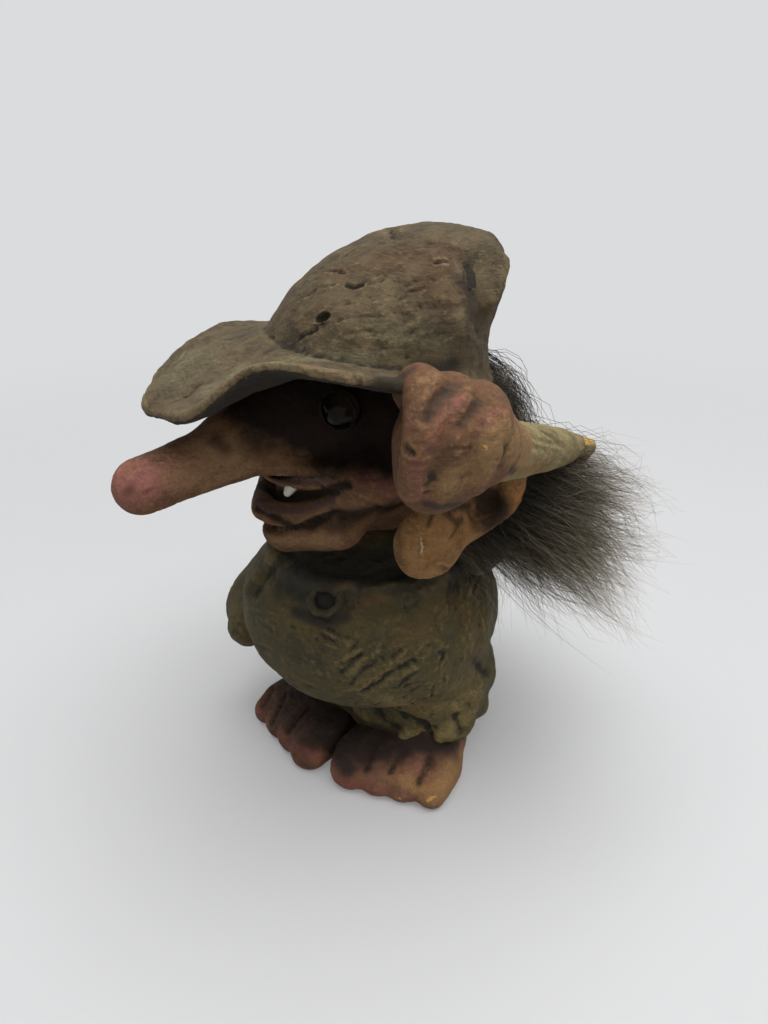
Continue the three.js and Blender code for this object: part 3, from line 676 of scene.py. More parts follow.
def hairMaterial(name, root, middle, tip, spread=0.5):
    material, tree, shader = newMaterial(name)
    plus, minus, times = sums(tree)
    along = addNode(tree, "ShaderNodeAttribute", attribute_name="alongHair").outputs["Fac"]
    tone = addNode(tree, "ShaderNodeAttribute", attribute_name="hairTone").outputs["Fac"]
    ramp = tree.nodes.new("ShaderNodeValToRGB")
    ramp.color_ramp.elements[0].color = srgb(*root)
    ramp.color_ramp.elements[1].color = srgb(*tip)
    between = ramp.color_ramp.elements.new(0.62)
    between.color = srgb(*middle)
    dark = ramp.color_ramp.elements.new(0.36)
    dark.color = srgb(*[r * 0.75 + m * 0.25 for r, m in zip(root, middle)])
    tree.links.new(along, ramp.inputs[0])
    value = plus(times(tone, spread), 1.0 - spread / 2)
    shade = addNode(tree, "ShaderNodeHueSaturation", {"Value": value, "Color": ramp.outputs[0]})
    gloss = plus(times(tone, 0.25), 0.5)
    setInputs(tree, shader, {"Base Color": shade.outputs[0], "Roughness": gloss, "Specular IOR Level": 0.3})
    return material


furPaint = hairMaterial("furHair", (24, 21, 17), (80, 72, 57), (188, 174, 148), 0.8)

reliefs = {  # lumps, pits and grain of each casting, depths in mm
    "hat": [0.08, 2.4, 0.3, 0.16, 0.7, 0.3, 3.0],
    "skin": [0.12, 1.0, 0.6, 0.12, 1.0, 0.16, 11.0],
    "cloth": [0.1, 2.2, 0.3, 0.2, 0.6, 0.25, 23.0],
    "foot": [0.14, 0.9, 0.5, 0.2, 0.9, 0.2, 31.0],
}


def handIn(piece, slot, *nodes):
    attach(piece, "root")
    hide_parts(*nodes)


def finishCasting(skin, name, relief, material, slot, *nodes):
    piece = skin.object(name)
    growTree(piece, castRelief, {"Material": material, **dict(zip(reliefLabels, reliefs[relief]))})
    piece = bake(piece, name)
    place = np.empty(len(piece.data.vertices) * 3)
    piece.data.vertices.foreach_get("co", place)
    place[2::3] = np.maximum(place[2::3], 0)  # nothing sinks under the floor
    piece.data.vertices.foreach_set("co", place)
    handIn(piece, slot, *nodes)
    print("made", name, len(piece.data.polygons))


# Camera, floor and light

def makeCamera():
    camera = addObject("camera", bpy.data.cameras.new("camera"))
    turn = np.stack([viewRight, -viewDown, -viewLook], 1)
    place = Matrix.Identity(4)
    for i in range(3):
        for j in range(3):
            place[i][j] = turn[i, j]
        place[i][3] = toMetres(viewEye)[i]
    camera.matrix_world = place
    camera.data.lens = photo["focal"] / photo["tall"] * 36
    camera.data.sensor_width = 36
    camera.data.clip_start = 0.01
    bpy.context.scene.camera = camera


stage = {"radius": 0.75, "curve": 0.5, "wall": 1.0, "sides": 96, "clear": (0.14, 0.46),
         "paper": ((0.7, 0.705, 0.71, 1), (0.73, 0.73, 0.735, 1)), "pale": (0.71, 0.715, 0.725, 1),
         "bounce": (0.4, 0.4, 0.4, 1), "veil": 0.22}


def makeFloor():
    radius, curve = stage["radius"], stage["curve"]
    profile = [(radius * k / 8, 0.0) for k in range(1, 9)]
    profile += [(radius + curve * math.sin(a), curve - curve * math.cos(a))
                for a in np.linspace(0, math.pi / 2, 14)[1:]]
    profile.append((radius + curve, curve + stage["wall"]))
    sides = stage["sides"]
    points = [(0, 0, 0)]
    for out, up in profile:
        points += [(out * math.cos(a), out * math.sin(a), up) for a in np.arange(sides) * 2 * math.pi / sides]
    faces = [(0, 1 + k, 1 + (k + 1) % sides) for k in range(sides)]
    for r in range(len(profile) - 1):
        for k in range(sides):
            a, b = 1 + r * sides + k, 1 + r * sides + (k + 1) % sides
            faces.append((a, a + sides, b + sides, b))
    mesh = bpy.data.meshes.new("floor")
    mesh.from_pydata(points, [], faces)
    mesh.shade_smooth()
    floor = addObject("floor", mesh)
    material, tree, shader = newMaterial("paperSheet")
    spot = tree.nodes.new("ShaderNodeTexCoord").outputs["Object"]
    tint = mixColours(tree, cloudNoise(tree, spot, 3.0), *stage["paper"])
    # away from the figure the sheet is an even pale grey to the eye and in reflections
    flat = vector2(tree, "LENGTH", spot)
    far = smoothRange(tree, flat, *stage["clear"], stage["veil"])
    path = tree.nodes.new("ShaderNodeLightPath").outputs
    seen = math2(tree, "MAXIMUM", math2(tree, "MAXIMUM", path["Is Camera Ray"], path["Is Glossy Ray"]),
                 path["Is Transmission Ray"])
    sheet = mixColours(tree, seen, stage["bounce"], tint)
    setInputs(tree, shader, {"Base Color": sheet, "Roughness": 0.7, "Specular IOR Level": 0.2})
    glow = addNode(tree, "ShaderNodeEmission", {"Color": stage["pale"], "Strength": 1.0}).outputs[0]
    share = math2(tree, "MULTIPLY", far, seen)
    both = addNode(tree, "ShaderNodeMixShader", {0: share, 1: shader.outputs[0], 2: glow})
    setInputs(tree, tree.nodes["Material Output"], {"Surface": both.outputs[0]})
    mesh.materials.append(material)


lamps = [  # name, place, aim, size in m, power in W
    ("softTop", (0.08, -0.03, 1.0), (0, 0, 0.06), 1.0, 11.6),
    ("softFront", (0.7, -0.35, 0.5), (0, 0, 0.05), 0.5, 1.1)]
sky = {"Color": (0.93, 0.95, 1.0, 1), "Strength": 0.16}


def makeLights():
    world = bpy.data.worlds.new("studio")
    bpy.context.scene.world = world
    world.use_nodes = True
    for label, value in sky.items():
        world.node_tree.nodes["Background"].inputs[label].default_value = value
    for name, spot, target, size, power in lamps:
        lamp = bpy.data.lights.new(name, "AREA")
        lamp.size = size
        lamp.energy = power
        holder = addObject(name, lamp)
        holder.location = spot
        holder.rotation_euler = (Vector(target) - Vector(spot)).to_track_quat("-Z", "Y").to_euler()


makeCamera()
makeFloor()
makeLights()
bpy.context.scene.view_settings.view_transform = "Standard"
print("camera, floor and light made")

# Head, in its own frame: the face looks along -y

head = {
    "skull": ((0, -2, 98), (27.5, 26, 25)), "muzzle": ((0, -14.5, 83.2), (19.5, 15.5, 12)),
    "cheek": ((18.5, -14.5, 90.2), (10.5, 11, 8)), "neck": 14,
    "nose": [(0, -17, 98.3), (0, -33.7, 95.2), (0, -50.2, 92.2), (0, -60.2, 90.2)],
    "noseRadii": [10.5, 7.8, 6.5, 6.2], "bridge": [(0, -39, 97.6), (0, -26, 103)], "bridgeRadii": [5.6, 8],
    "fold": [(27.2, -13, 87.6), (27, -17.6, 89.6), (25, -21, 91.3), (21.8, -22.8, 92.6), (17, -24.4, 92.1),
             (10, -27.2, 90.8), (0, -30.2, 90)],
    "upperLip": [(21, -21.4, 90.6), (12.2, -25.2, 88.3), (5.7, -28.4, 87.4), (0, -29.8, 87)],
    "gap": [(23.6, -23.2, 90.6), (16, -25.8, 86), (9.5, -28.6, 83.1), (3, -31, 81.6), (0, -31.6, 81.4)],
    "crease": [(20.5, -23, 89.8), (16, -26, 89.3), (10, -28.8, 88.2), (0, -32, 87.6)],
    "lowerLip": [(23.6, -22, 88.8), (17, -23, 84.2), (13, -25, 81.6), (9, -27.8, 79),
                 (4, -31, 77.8), (0, -32.6, 78)],
    "groove": [(20.5, -23, 84), (15, -25.6, 79.6), (10, -28.6, 75.8), (5, -31.2, 74), (0, -32.4, 73.5)],
    "chin": [(14, -19.5, 75.5), (0, -26.8, 71.8)], "chinRadii": [5, 6.3], "step": 0.56,
    "neckPath": [(0, 0, 92), (0, 0, 66)], "box": ((-31, -68, 64), (31, 26, 125)),
    "mouth": [  # how each line of the mouth joins the face, how softly, and its radii
        (carve, 1.2, "gap", [0.8, 2.1, 2.8, 3.1, 3.1]),
        (meld, 1.4, "upperLip", [1.2, 1.7, 1.9, 1.9]),
        (meld, 2.4, "fold", [1.2, 1.7, 2.0, 2.1, 2.1, 2.1, 2.1]),
        (carve, 0.6, "crease", [0.3, 0.8, 0.9, 0.9]),
        (meld, 1.2, "lowerLip", [1.2, 2.1, 2.5, 2.8, 3, 3]),
        (carve, 1.0, "groove", [0.5, 1.1, 1.4, 1.5, 1.5])],
}
skullAt, skullHalf = np.array(head["skull"][0], float), np.array(head["skull"][1], float)


def onSkull(around, up, out=0.0):
    a, e = math.radians(around), math.radians(up)
    way = np.array([math.sin(a) * math.cos(e), -math.cos(a) * math.cos(e), math.sin(e)])
    return skullAt + way * (skullHalf + out)


eye = {
    "radius": 4.1, "around": 42.5, "up": 18.6, "out": 1.2, "gaze": 28, "slice": 1.2, "lid": 0.5,
    "slack": 0.05, "lidLift": 1.2, "overlap": 0.12, "reach": 6, "step": 0.32}
eyeAt = onSkull(eye["around"], eye["up"], eye["out"])
eyeLook = unit(onSkull(eye["gaze"], 0) - skullAt)


def headField(p):
    q = np.column_stack([np.abs(p[:, 0]), p[:, 1:]])
    d = meld(6, ballField(p, *head["skull"]), ballField(p, *head["muzzle"]))
    d = meld(4, d, ballField(q, *head["cheek"]))
    d = meld(5, d, tubeField(q, head["chin"], head["chinRadii"]))
    d = meld(7, d, tubeField(p, head["nose"], head["noseRadii"]))
    d = meld(5, d, tubeField(p, head["bridge"], head["bridgeRadii"], 1))
    d = meld(4, d, tubeField(p, head["neckPath"], [head["neck"]] * 2, 1))
    for join, soft, line, radii in head["mouth"]:
        d = join(soft, d, tubeField(q, head[line], radii, 3))
    d = meld(1.2, d, ringField(q, eyeAt, eyeLook, eye["radius"], eye["lid"], eye["lidLift"]))
    return carve(0.4, d, ballField(q, eyeAt, (eye["radius"] + eye["slack"],) * 3))


def makeHead():
    points, faces = skinOf(headField, *head["box"], head["step"])
    skin = Skin(turnHead(points), faces)
    skin.press([
        (0.35, 0.3, 149, 460, 157, 461, 166, 459), (0.35, 0.3, 143, 494, 150, 491, 160, 489),
        (0.6, 0.35, 362, 500, 380, 508)])
    skin.scuff((125, 455, 240, 500), 22, -14, 16, 0.4, 0.16, 41)
    skin.scuff((262, 520, 345, 546), 22, -25, 14, 0.45, 0.28, 42)
    skin.scuff((345, 480, 392, 515), 14, 30, 12, 0.45, 0.22, 43)
    skin.paint("blush", [
        (6.4, 1.05, 112, 487, 150, 482), (5.0, 0.95, 150, 482, 186, 472), (3.6, 0.6, 362, 476, 392, 488),
        (1.5, 0.5, 256, 500, 272, 512, 300, 512, 330, 502)])
    skin.paint("tint", [
        (2.2, 0.9, 188, 447, 197, 444), (3.0, 0.9, 275, 538, 330, 540), (3.0, 0.8, 205, 486, 250, 468),
        (1.1, 0.55, 262, 468, 340, 470), (5.4, 0.95, 184, 478, 225, 460)])
    # dark wash in the mouth, lips and grooves; the broad stroke over the upper face is painted shade under
    # the brim
    skin.paint("wash", [
        (2.2, 0.7, 215, 440, 226, 450), (1.6, 0.5, 132, 486, 126, 492),
        (1.5, 1.3, 256, 482, 272, 494, 300, 496, 346, 486), (0.9, 0.9, 270, 477, 335, 477),
        (1.6, 1.0, 258, 508, 286, 525, 310, 527, 336, 511), (4.6, 0.9, 345, 516, 392, 508),
        (3.0, 0.6, 330, 528, 350, 520), (1.6, 0.6, 254, 486, 262, 500), (4.5, 0.8, 250, 436, 300, 440)])
    skin.paint("chip", [(1.7, 0.75, 254, 496, 270, 510, 300, 511, 334, 500), (1.3, 0.7, 268, 482, 330, 480)])
    _, ahead, up = turnHead(skin.points, True).T
    # dark paint and painted shade under the brim: it comes down lower at the cheeks and fades out along the
    # nose
    low = 93 - 5 * softStep(-38, -26, ahead)
    shade = softStep(low, low + 11, up + 1.6 * skin.broad[:, 0] + 0.6 * skin.fine[:, 0])
    skin.cover("wash", 1.3 * (shade * softStep(-46, -34, ahead + skin.broad[:, 1])))
    finishCasting(skin, "head_casting", "skin", facePaint, "skin_paint", "head")


makeHead()

ear = {
    "at": (31.5, 3, 88), "half": (4, 10.5, 13.5), "lobe": (32.2, -7, 77.6), "lobeHalf": (5.2, 8.8, 9.2),
    "rim": [(-2, -6, 11), (2, 4, 12), (5, 9, 3), (3.5, 6, -7), (0, -4, -11)], "rimRadius": 2.6,
    "bowl": ((5.6, 0.5, -1), (4.4, 6.8, 9)), "step": 0.5, "box": ((22, -20, 64), (43, 20, 106))}


def earField(p):
    at = np.array(ear["at"], float)
    d = meld(3, ballField(p, at, ear["half"]), ballField(p, ear["lobe"], ear["lobeHalf"]))
    d = carve(1.5, d, ballField(p, at + ear["bowl"][0], ear["bowl"][1]))
    return meld(1.6, d, tubeField(p, [at + np.array(r) for r in ear["rim"]], [ear["rimRadius"]] * 5))


def makeEars():
    points, faces = skinOf(earField, *ear["box"], ear["step"])
    for side, (mesh, order) in (("left", (points, faces)), ("right", mirroredSkin(points, faces))):
        skin = Skin(turnHead(mesh), order)
        if side == "left":
            skin.press([
                (0.3, 0.2, 421, 536, 422, 548, 419, 558), (3.2, 1.8, 488, 500, 494, 522),
                (0.5, 0.3, 446, 512, 453, 526), (0.7, 0.5, 436, 568, 452, 572)])
            skin.scuff((400, 518, 468, 574), 44, 4, 14, 0.35, 0.2, 44)
            skin.paint("chip", [(0.36, 0.95, 421, 537, 422, 547, 420, 557)])
            skin.paint("wash", [
                (3.2, 1.35, 486, 496, 497, 508, 494, 524), (1.2, 0.9, 444, 508, 456, 524, 462, 520),
                (0.7, 0.8, 432, 514, 428, 526), (0.7, 0.8, 456, 528, 450, 538),
                (1.8, 1.0, 415, 503, 470, 507), (1.2, 0.8, 470, 512, 480, 530),
                (0.7, 0.8, 440, 568, 454, 571), (1.6, 0.6, 398, 530, 400, 560)])
            skin.paint("blush", [(1.5, 1.1, 520, 492, 517, 512, 508, 530)])
        finishCasting(skin, side + "_ear_casting", "skin", earPaint, "ear_paint", side + "_ear")


makeEars()

# Hat: one loft from the lining, out under the brim, back over it and up the crown. A row of the crown has
# shares of height, lean, width and depth; a row of the edge has degrees round, reach and rise in mm.

hat = {
    "bandZ": 112, "tilt": 4, "half": (27.38, 26.14), "height": 26.6, "lean": 14, "wall": 3,
    "crown": [(0, 0, 1, 1), (0.28, 0.09, 0.945, 0.92), (0.54, 0.38, 0.87, 0.885), (0.76, 0.69, 0.71, 0.775),
              (0.91, 0.91, 0.49, 0.565), (0.985, 0.98, 0.22, 0.25)],
    "edge": [(0, 28.2, -9.3), (15, 28, -6.8), (39, 25, 8), (52, 22.6, 6.4), (66, 19, 4.5), (84, 10, 0.5),
             (102, 3.4, -2), (122, 0.6, -2), (150, 0.2, -2), (182, 0.8, -2), (235, 4, -3),
             (272, 11, -2.6), (308, 17, -2.2), (336, 22.5, -6.8)],
    "sides": 260, "brimRings": 34, "step": 0.52, "back": -2, "sag": 0.9, "thin": 0.25, "lip": 0.9}


def easedTable(table, angles):
    degrees = np.degrees(angles) % 360
    rows = np.array(list(table) + [(360,) + tuple(table[0][1:])], float)
    slot = np.clip(np.searchsorted(rows[:, 0], degrees, side="right") - 1, 0, len(rows) - 2)
    a, b = rows[slot], rows[slot + 1]
    s = (degrees - a[:, 0]) / (b[:, 0] - a[:, 0])
    s = (s * s * (3 - 2 * s))[:, None]
    soft = a[:, 1:] + (b[:, 1:] - a[:, 1:]) * s
    window = np.hanning(15)
    window = window / window.sum()
    return np.stack([np.convolve(np.tile(c, 3), window, "same")[len(c):2 * len(c)] for c in soft.T], 1)


def makeHat():
    sides = int(hat["sides"] / coarse)
    angles = np.arange(sides) * 2 * math.pi / sides
    sine, cosine = np.sin(angles), np.cos(angles)
    reach, rise = easedTable(hat["edge"], angles).T
    wall = hat["wall"]

    def band(grow, lift):
        return np.stack([(hat["half"][0] + grow) * sine, hat["back"] - (hat["half"][1] + grow) * cosine,
                         hat["bandZ"] + hat["tilt"] * cosine + lift], 1)

    def brim(share, lift):
        return band(reach * share, rise * share + lift)

    shares, values = smoothPath([r[:3] for r in hat["crown"]], [r[3] for r in hat["crown"]], 12)

    def crownRing(k, inset):
        up, lean, wide = shares[k]
        across, deep = hat["half"][0] * wide - inset, hat["half"][1] * values[k] - inset
        high = hat["bandZ"] + hat["tilt"] * cosine * (1 - up) ** 2 + (hat["height"] - inset) * up
        middle = hat["back"] * (1 - up) + hat["lean"] * lean
        return np.stack([across * sine, middle - deep * cosine, high], 1)

    rings = [crownRing(k, wall) for k in range(len(shares) - 1, 0, -2)]
    steps = np.linspace(0, 1, int(hat["brimRings"] / coarse))
    thick = wall * 0.5
    thin, sag = hat["thin"], hat["sag"]
    for s in steps:
        under = brim(s, -thick * (1 - thin * s) - sag * math.sin(math.pi * s))
        rings.append(under if s else band(-wall, -thick))
    for a in np.linspace(-1.2, 1.2, 7):
        rings.append(brim(1, thick * 0.85 * math.sin(a)) + (band(hat["lip"] * math.cos(a), 0) - band(0, 0)))
    for s in steps[::-1]:
        rings.append(brim(s, thick * (1 - thin * s) - sag * math.sin(math.pi * s) * (1 - s)))
    rings += [crownRing(k, 0) for k in range(2, len(shares))]
    top = np.array([[0, hat["lean"], hat["bandZ"] + hat["height"]]])
    points = np.vstack([top - (0, 0, wall)] + rings + [top])
    faces = []
    count = len(rings)
    k = np.arange(sides)
    n = (k + 1) % sides
    for r in range(count - 1):
        a, b = 1 + r * sides, 1 + (r + 1) * sides
        faces.append(np.stack([a + k, a + n, b + n, b + k], 1))
    last = len(points) - 1
    faces.append(np.stack([0 * k, 1 + n, 1 + k, 1 + k], 1))
    tail = 1 + (count - 1) * sides
    faces.append(np.stack([last + 0 * k, tail + k, tail + n, tail + n], 1))
    points, faces = evenSkin(points, np.vstack(faces), hat["step"])
    skin = Skin(turnHead(points), faces)
    skin.press([
        (0.6, 1.1, 318, 318, 325, 315), (0.4, 0.6, 343, 256, 351, 251, 359, 247),
        (0.36, 0.4, 328, 272, 338, 270, 344, 273), (0.42, 0.6, 346, 284, 355, 287, 362, 284),
        (0.36, 0.45, 357, 286, 367, 280), (0.45, 0.5, 436, 263, 446, 262),
        (0.35, 0.25, 338, 320, 352, 316, 386, 317), (0.5, 0.45, 296, 338, 303, 333, 314, 329),
        (0.35, 0.3, 308, 296, 320, 288, 334, 284), (0.3, 0.25, 372, 300, 396, 296),
        (0.35, 0.25, 400, 300, 410, 290, 428, 288), (0.35, 0.28, 344, 334, 372, 330),
        (4.2, 2.2, 478, 270, 483, 295, 487, 318), (2.2, -1.0, 505, 262, 500, 285, 494, 305),
        (1.2, 1.0, 390, 226, 394, 236), (2.0, 0.5, 420, 240, 448, 247),
        (1.0, 0.5, 420, 306, 440, 304, 455, 308), (0.9, 0.4, 390, 312, 405, 318),
        (3.0, 0.5, 281, 340, 300, 338, 330, 340, 380, 350, 420, 357), (1.0, 0.4, 186, 395, 198, 385),
        (2.6, -0.6, 215, 345, 240, 350)])
    skin.scuff((295, 245, 480, 345), 70, -28, 24, 0.45, 0.22, 45)
    skin.scuff((300, 330, 480, 372), 34, 8, 22, 0.45, 0.2, 46)
    skin.scuff((165, 335, 262, 400), 40, -38, 18, 0.45, 0.22, 47)
    # dark wash in the dents and gouges; the long stroke along the brim beside the fist is painted shade under
    # the fist
    skin.paint("wash", [
        (1.0, 1.2, 322, 316), (3.6, 0.9, 472, 282, 486, 322), (5.0, 0.45, 430, 322, 470, 335, 484, 372),
        (1.6, 0.5, 292, 328, 300, 336), (3.4, 0.95, 382, 388, 400, 380, 424, 372, 450, 370),
        (1.8, 0.7, 268, 352, 280, 342, 290, 338), (1.0, 0.8, 440, 263), (1.4, 0.6, 420, 306, 452, 308)])
    skin.paint("blush", [
        (3.4, 0.65, 205, 392, 240, 368, 300, 358, 370, 366), (7, 0.45, 220, 350, 190, 380),
        (2.6, 0.5, 485, 262, 470, 285), (5, 0.5, 380, 330, 440, 345), (5, 0.6, 170, 380, 195, 352)])
    skin.paint("tint", [
        (1.0, 0.8, 205, 405, 246, 379, 262, 366), (2.0, 0.9, 385, 392, 374, 380),
        (6.0, 0.85, 385, 262, 420, 247, 445, 255, 430, 285), (4.0, 0.7, 330, 272, 350, 268),
        (4.0, 0.7, 462, 292, 445, 305), (3.0, 0.5, 322, 300, 300, 325),
        (4.0, 0.4, 180, 402, 200, 380, 225, 360), (1.2, 0.7, 150, 400, 172, 420)])
    skin.paint("chip", [(0.5, 0.8, 246, 379), (0.4, 0.8, 300, 368), (0.4, 0.8, 330, 376, 334, 377)])
    # the hat's downward faces get painted shade
    under = softStep(0.1, 0.55, -skin.normals[:, 2])
    skin.cover("wash", 1.3 * under)
    finishCasting(skin, "hat_casting", "hat", hatPaint, "hat_paint", "hat")


makeHat()

# Fist, in the figure's frame: fingers curled over the brim

fist = {
    "at": (32.65, -31.74, 105.32), "out": (0.694, -0.720, 0), "ahead": (-0.720, -0.694, 0),
    "elbow": (46.5, 15.5, 92), "palm": ((0, 0, 0.3), (9.3, 11, 11.8)),
    "thumb": ((1.5, 4.5, -6.5), (7, 6, 6)), "wristBack": 7.7, "wristRadii": [7, 6.4, 5.2], "fingers": 3,
    "spacing": 6.3, "knuckle": 12.2, "drop": 2.2, "fingerRadii": [2.2, 3.5, 4.1, 4.0, 3.2], "step": 0.48,
    "reach": ((-21, -21, -20), (21, 24, 20))}
fistFrame = np.array([fist["out"], fist["ahead"], (0, 0, 1)], float)


def inFist(out, ahead, up):
    return np.array(fist["at"], float) + np.array([out, ahead, up], float) @ fistFrame


wristAt = inFist(0, -fist["wristBack"], 0)
forearm = unit(np.array(fist["elbow"], float) - wristAt)


def fistField(p):
    local = (p - np.array(fist["at"], float)) @ fistFrame.T
    wrist = [wristAt, wristAt + forearm * 5 - (0, 0, 1.2), wristAt + forearm * 10 - (0, 0, 1.8)]
    d = meld(4.5, ballField(local, *fist["palm"]), tubeField(p, wrist, fist["wristRadii"], 2))
    d = meld(4, d, ballField(local, *fist["thumb"]))
    for i in range(fist["fingers"]):
        ahead = fist["spacing"] - fist["spacing"] * i
        top = fist["knuckle"] - fist["drop"] * i
        path = [inFist(7.2, ahead + 3.6, -5), inFist(8.4, ahead + 2, 3.5), inFist(5, ahead, top * 0.86),
                inFist(-1.5, ahead - 0.5, top), inFist(-6, ahead, top * 0.75)]
        d = meld(2.4, d, tubeField(p, path, fist["fingerRadii"]))
    return d


def makeFist():
    low, high = np.array(fist["reach"]) + fist["at"]
    points, faces = skinOf(fistField, low, high, fist["step"])
    skin = Skin(points, faces)
    skin.press([
        (1.5, 0.9, 457, 380, 441, 398, 430, 418), (1.3, 0.7, 481, 401, 470, 417, 461, 428),
        (0.6, 0.5, 405, 448, 412, 454), (0.3, 0.35, 455, 448, 471, 448),
        (1.4, 0.35, 415, 470, 440, 480, 470, 474), (1.0, 0.4, 500, 420, 506, 450)])
    skin.scuff((405, 385, 510, 450), 30, -50, 13, 0.45, 0.24, 48)
    skin.scuff((410, 450, 505, 498), 40, -12, 14, 0.4, 0.24, 49)
    skin.paint("blush", [
        (1.5, 0.85, 462, 397, 457, 402), (3.0, 0.5, 448, 412, 430, 436), (2.0, 0.62, 498, 412, 484, 430),
        (3.0, 0.62, 418, 470, 424, 492), (1.6, 0.4, 410, 412, 406, 432)])
    skin.paint("wash", [
        (1.5, 0.95, 455, 382, 443, 396, 430, 416), (1.3, 0.9, 479, 403, 463, 425),
        (0.8, 1.1, 406, 449, 413, 453), (1.2, 1.0, 426, 503, 440, 508, 462, 504),
        (2.0, 0.75, 399, 392, 402, 376, 412, 368), (0.5, 0.9, 448, 448, 458, 449),
        (1.2, 0.8, 511, 470, 519, 476), (1.4, 0.45, 425, 440, 432, 452)])
    skin.paint("tint", [
        (4.4, 1.0, 450, 484, 480, 468, 508, 440), (3, 1.0, 514, 430, 516, 455),
        (2.0, 0.5, 420, 380, 440, 374)])
    skin.paint("chip", [(0.4, 0.85, 485, 445, 487, 450)])
    along = (skin.points - wristAt) @ forearm
    skin.cover("tint", 1.25 * softStep(-1.5, 3.5, along + skin.broad[:, 0]))
    finishCasting(skin, "fist_casting", "skin", fistPaint, "skin_paint", "left_fist")


makeFist()

sleeve = {
    "left": (21.42, 6, 64), "right": (-26.42, 6, 64), "upper": [10, 7.4, 2.8], "lower": [1.8, 3.7, 4.9, 6.3],
    "droop": 0.8, "cuffDroop": 1.9, "hollow": 5.6, "farElbow": (-41.4, -5, 32.6), "farCuff": (-35, -15, 31),
    "far": [7, 6, 7.4, 6.4], "step": 0.55, "leftBox": ((8, -34, 50), (55, 24, 118)),
    "rightBox": ((-52, -24, 22), (-14, 18, 78))}


def leftSleeveField(p):
    shoulder = np.array(sleeve["left"])
    elbow = np.array(fist["elbow"], float) - (0, 0, sleeve["droop"])
    cuff = wristAt + forearm * 5 - (0, 0, sleeve["cuffDroop"])
    half = (shoulder + elbow) / 2
    d = tubeField(p, [shoulder, half, shoulder + (elbow - shoulder) * 0.9], sleeve["upper"])
    lower = tubeField(p, [elbow, elbow + (cuff - elbow) * 0.3, (elbow + cuff) / 2, cuff], sleeve["lower"])
    d = meld(3, d, lower)
    return carve(0.6, d, ballField(p, cuff - forearm * 5, (sleeve["hollow"],) * 3))


def rightSleeveField(p):
    shoulder, elbow, cuff = (np.array(sleeve[key], float) for key in ("right", "farElbow", "farCuff"))
    half = (shoulder + elbow) / 2 + (1.5, 0, 0)
    return tubeField(p, [shoulder + (3, 0, 0), half, elbow, cuff], sleeve["far"])


def makeSleeves():
    points, faces = skinOf(leftSleeveField, *sleeve["leftBox"], sleeve["step"])
    skin = Skin(points, faces)
    skin.press([
        (0.5, 0.4, 516, 416, 540, 430, 562, 444), (0.5, 0.35, 522, 432, 545, 442, 566, 447),
        (0.45, 0.3, 528, 420, 552, 430), (0.5, 0.3, 530, 446, 556, 452)])
    skin.scuff((518, 412, 585, 462), 34, 24, 30, 0.4, 0.15, 50)
    skin.paint("chip", [(1.2, 1.0, 586, 440, 592, 441), (0.4, 0.8, 590, 450), (0.4, 0.8, 581, 452)])
    skin.paint("blush", [(2.2, 0.9, 520, 470, 545, 466), (1.0, 0.6, 570, 455, 594, 452)])
    skin.paint("wash", [(9, 1.2, 470, 555, 505, 565), (8, 1.2, 530, 520, 575, 486)])
    finishCasting(skin, "left_sleeve_casting", "skin", sleevePaint, "cloth_paint", "left_sleeve")
    points, faces = skinOf(rightSleeveField, *sleeve["rightBox"], sleeve["step"])
    finishCasting(
        Skin(points, faces), "right_sleeve_casting", "cloth", clothPaint, "cloth_paint", "right_sleeve")


sleevePaint = paintMaterial(
    "sleevePaint", [(154, 138, 98), (132, 120, 84), (56, 50, 40), (182, 166, 126),
                    (142, 108, 68), (120, 116, 88), yellowRubber],
    [0.2, 0.8, 0.5, 0.5, 0.4])
makeSleeves()

# Torso and trousers

body = {
    "belly": ((-2.5, -3, 43.5), (34.5, 33.5, 25.5)), "chest": ((-2.5, 2, 60), (26, 22, 17)),
    "legs": [(14, 2, 23), (-12, 4, 23)], "legHalf": (17.5, 18, 14.5), "waistZ": 61,
    "folds": [((1, -5, 17), (8.5, 8.5, 8)), ((5, -10.5, 13), (8, 7, 6.5))], "waist": (25.1, 24.4),
    "waistRadius": 2.2, "step": 0.6, "box": ((-40, -40, 6), (36, 35, 80)),
    "cuffLobes": 7, "cuff": (12.3, 12.8, 13.2), "lobe": 4.6, "lobeChange": 1.1, "lobeRise": 1.4,
}


def bodyField(p):
    d = meld(6, ballField(p, *body["belly"]), *[ballField(p, at, body["legHalf"]) for at in body["legs"]])
    flat = (p - np.array((-2.5, -3, body["waistZ"]))) * np.array([1, body["waist"][0] / body["waist"][1], 1])
    d = meld(2.5, d, ringField(flat, (0, 0, 0), (0, 0, 1), body["waist"][0], body["waistRadius"]))
    for i, at in enumerate(body["legs"]):
        for k in range(body["cuffLobes"]):
            a = 2 * math.pi * (k + 0.37 * i) / body["cuffLobes"]
            size = body["lobe"] + body["lobeChange"] * math.sin(2.3 * k + i)
            wide, deep, high = body["cuff"]
            spot = (at[0] + wide * math.sin(a), at[1] - deep * math.cos(a),
                    high + body["lobeRise"] * math.sin(1.7 * k))
            d = meld(4.5, d, ballField(p, spot, (size * 1.25, size * 1.25, size)))
    d = meld(4, d, *[ballField(p, *part) for part in body["folds"]])
    return meld(1.6, d, ballField(p, *body["chest"]))


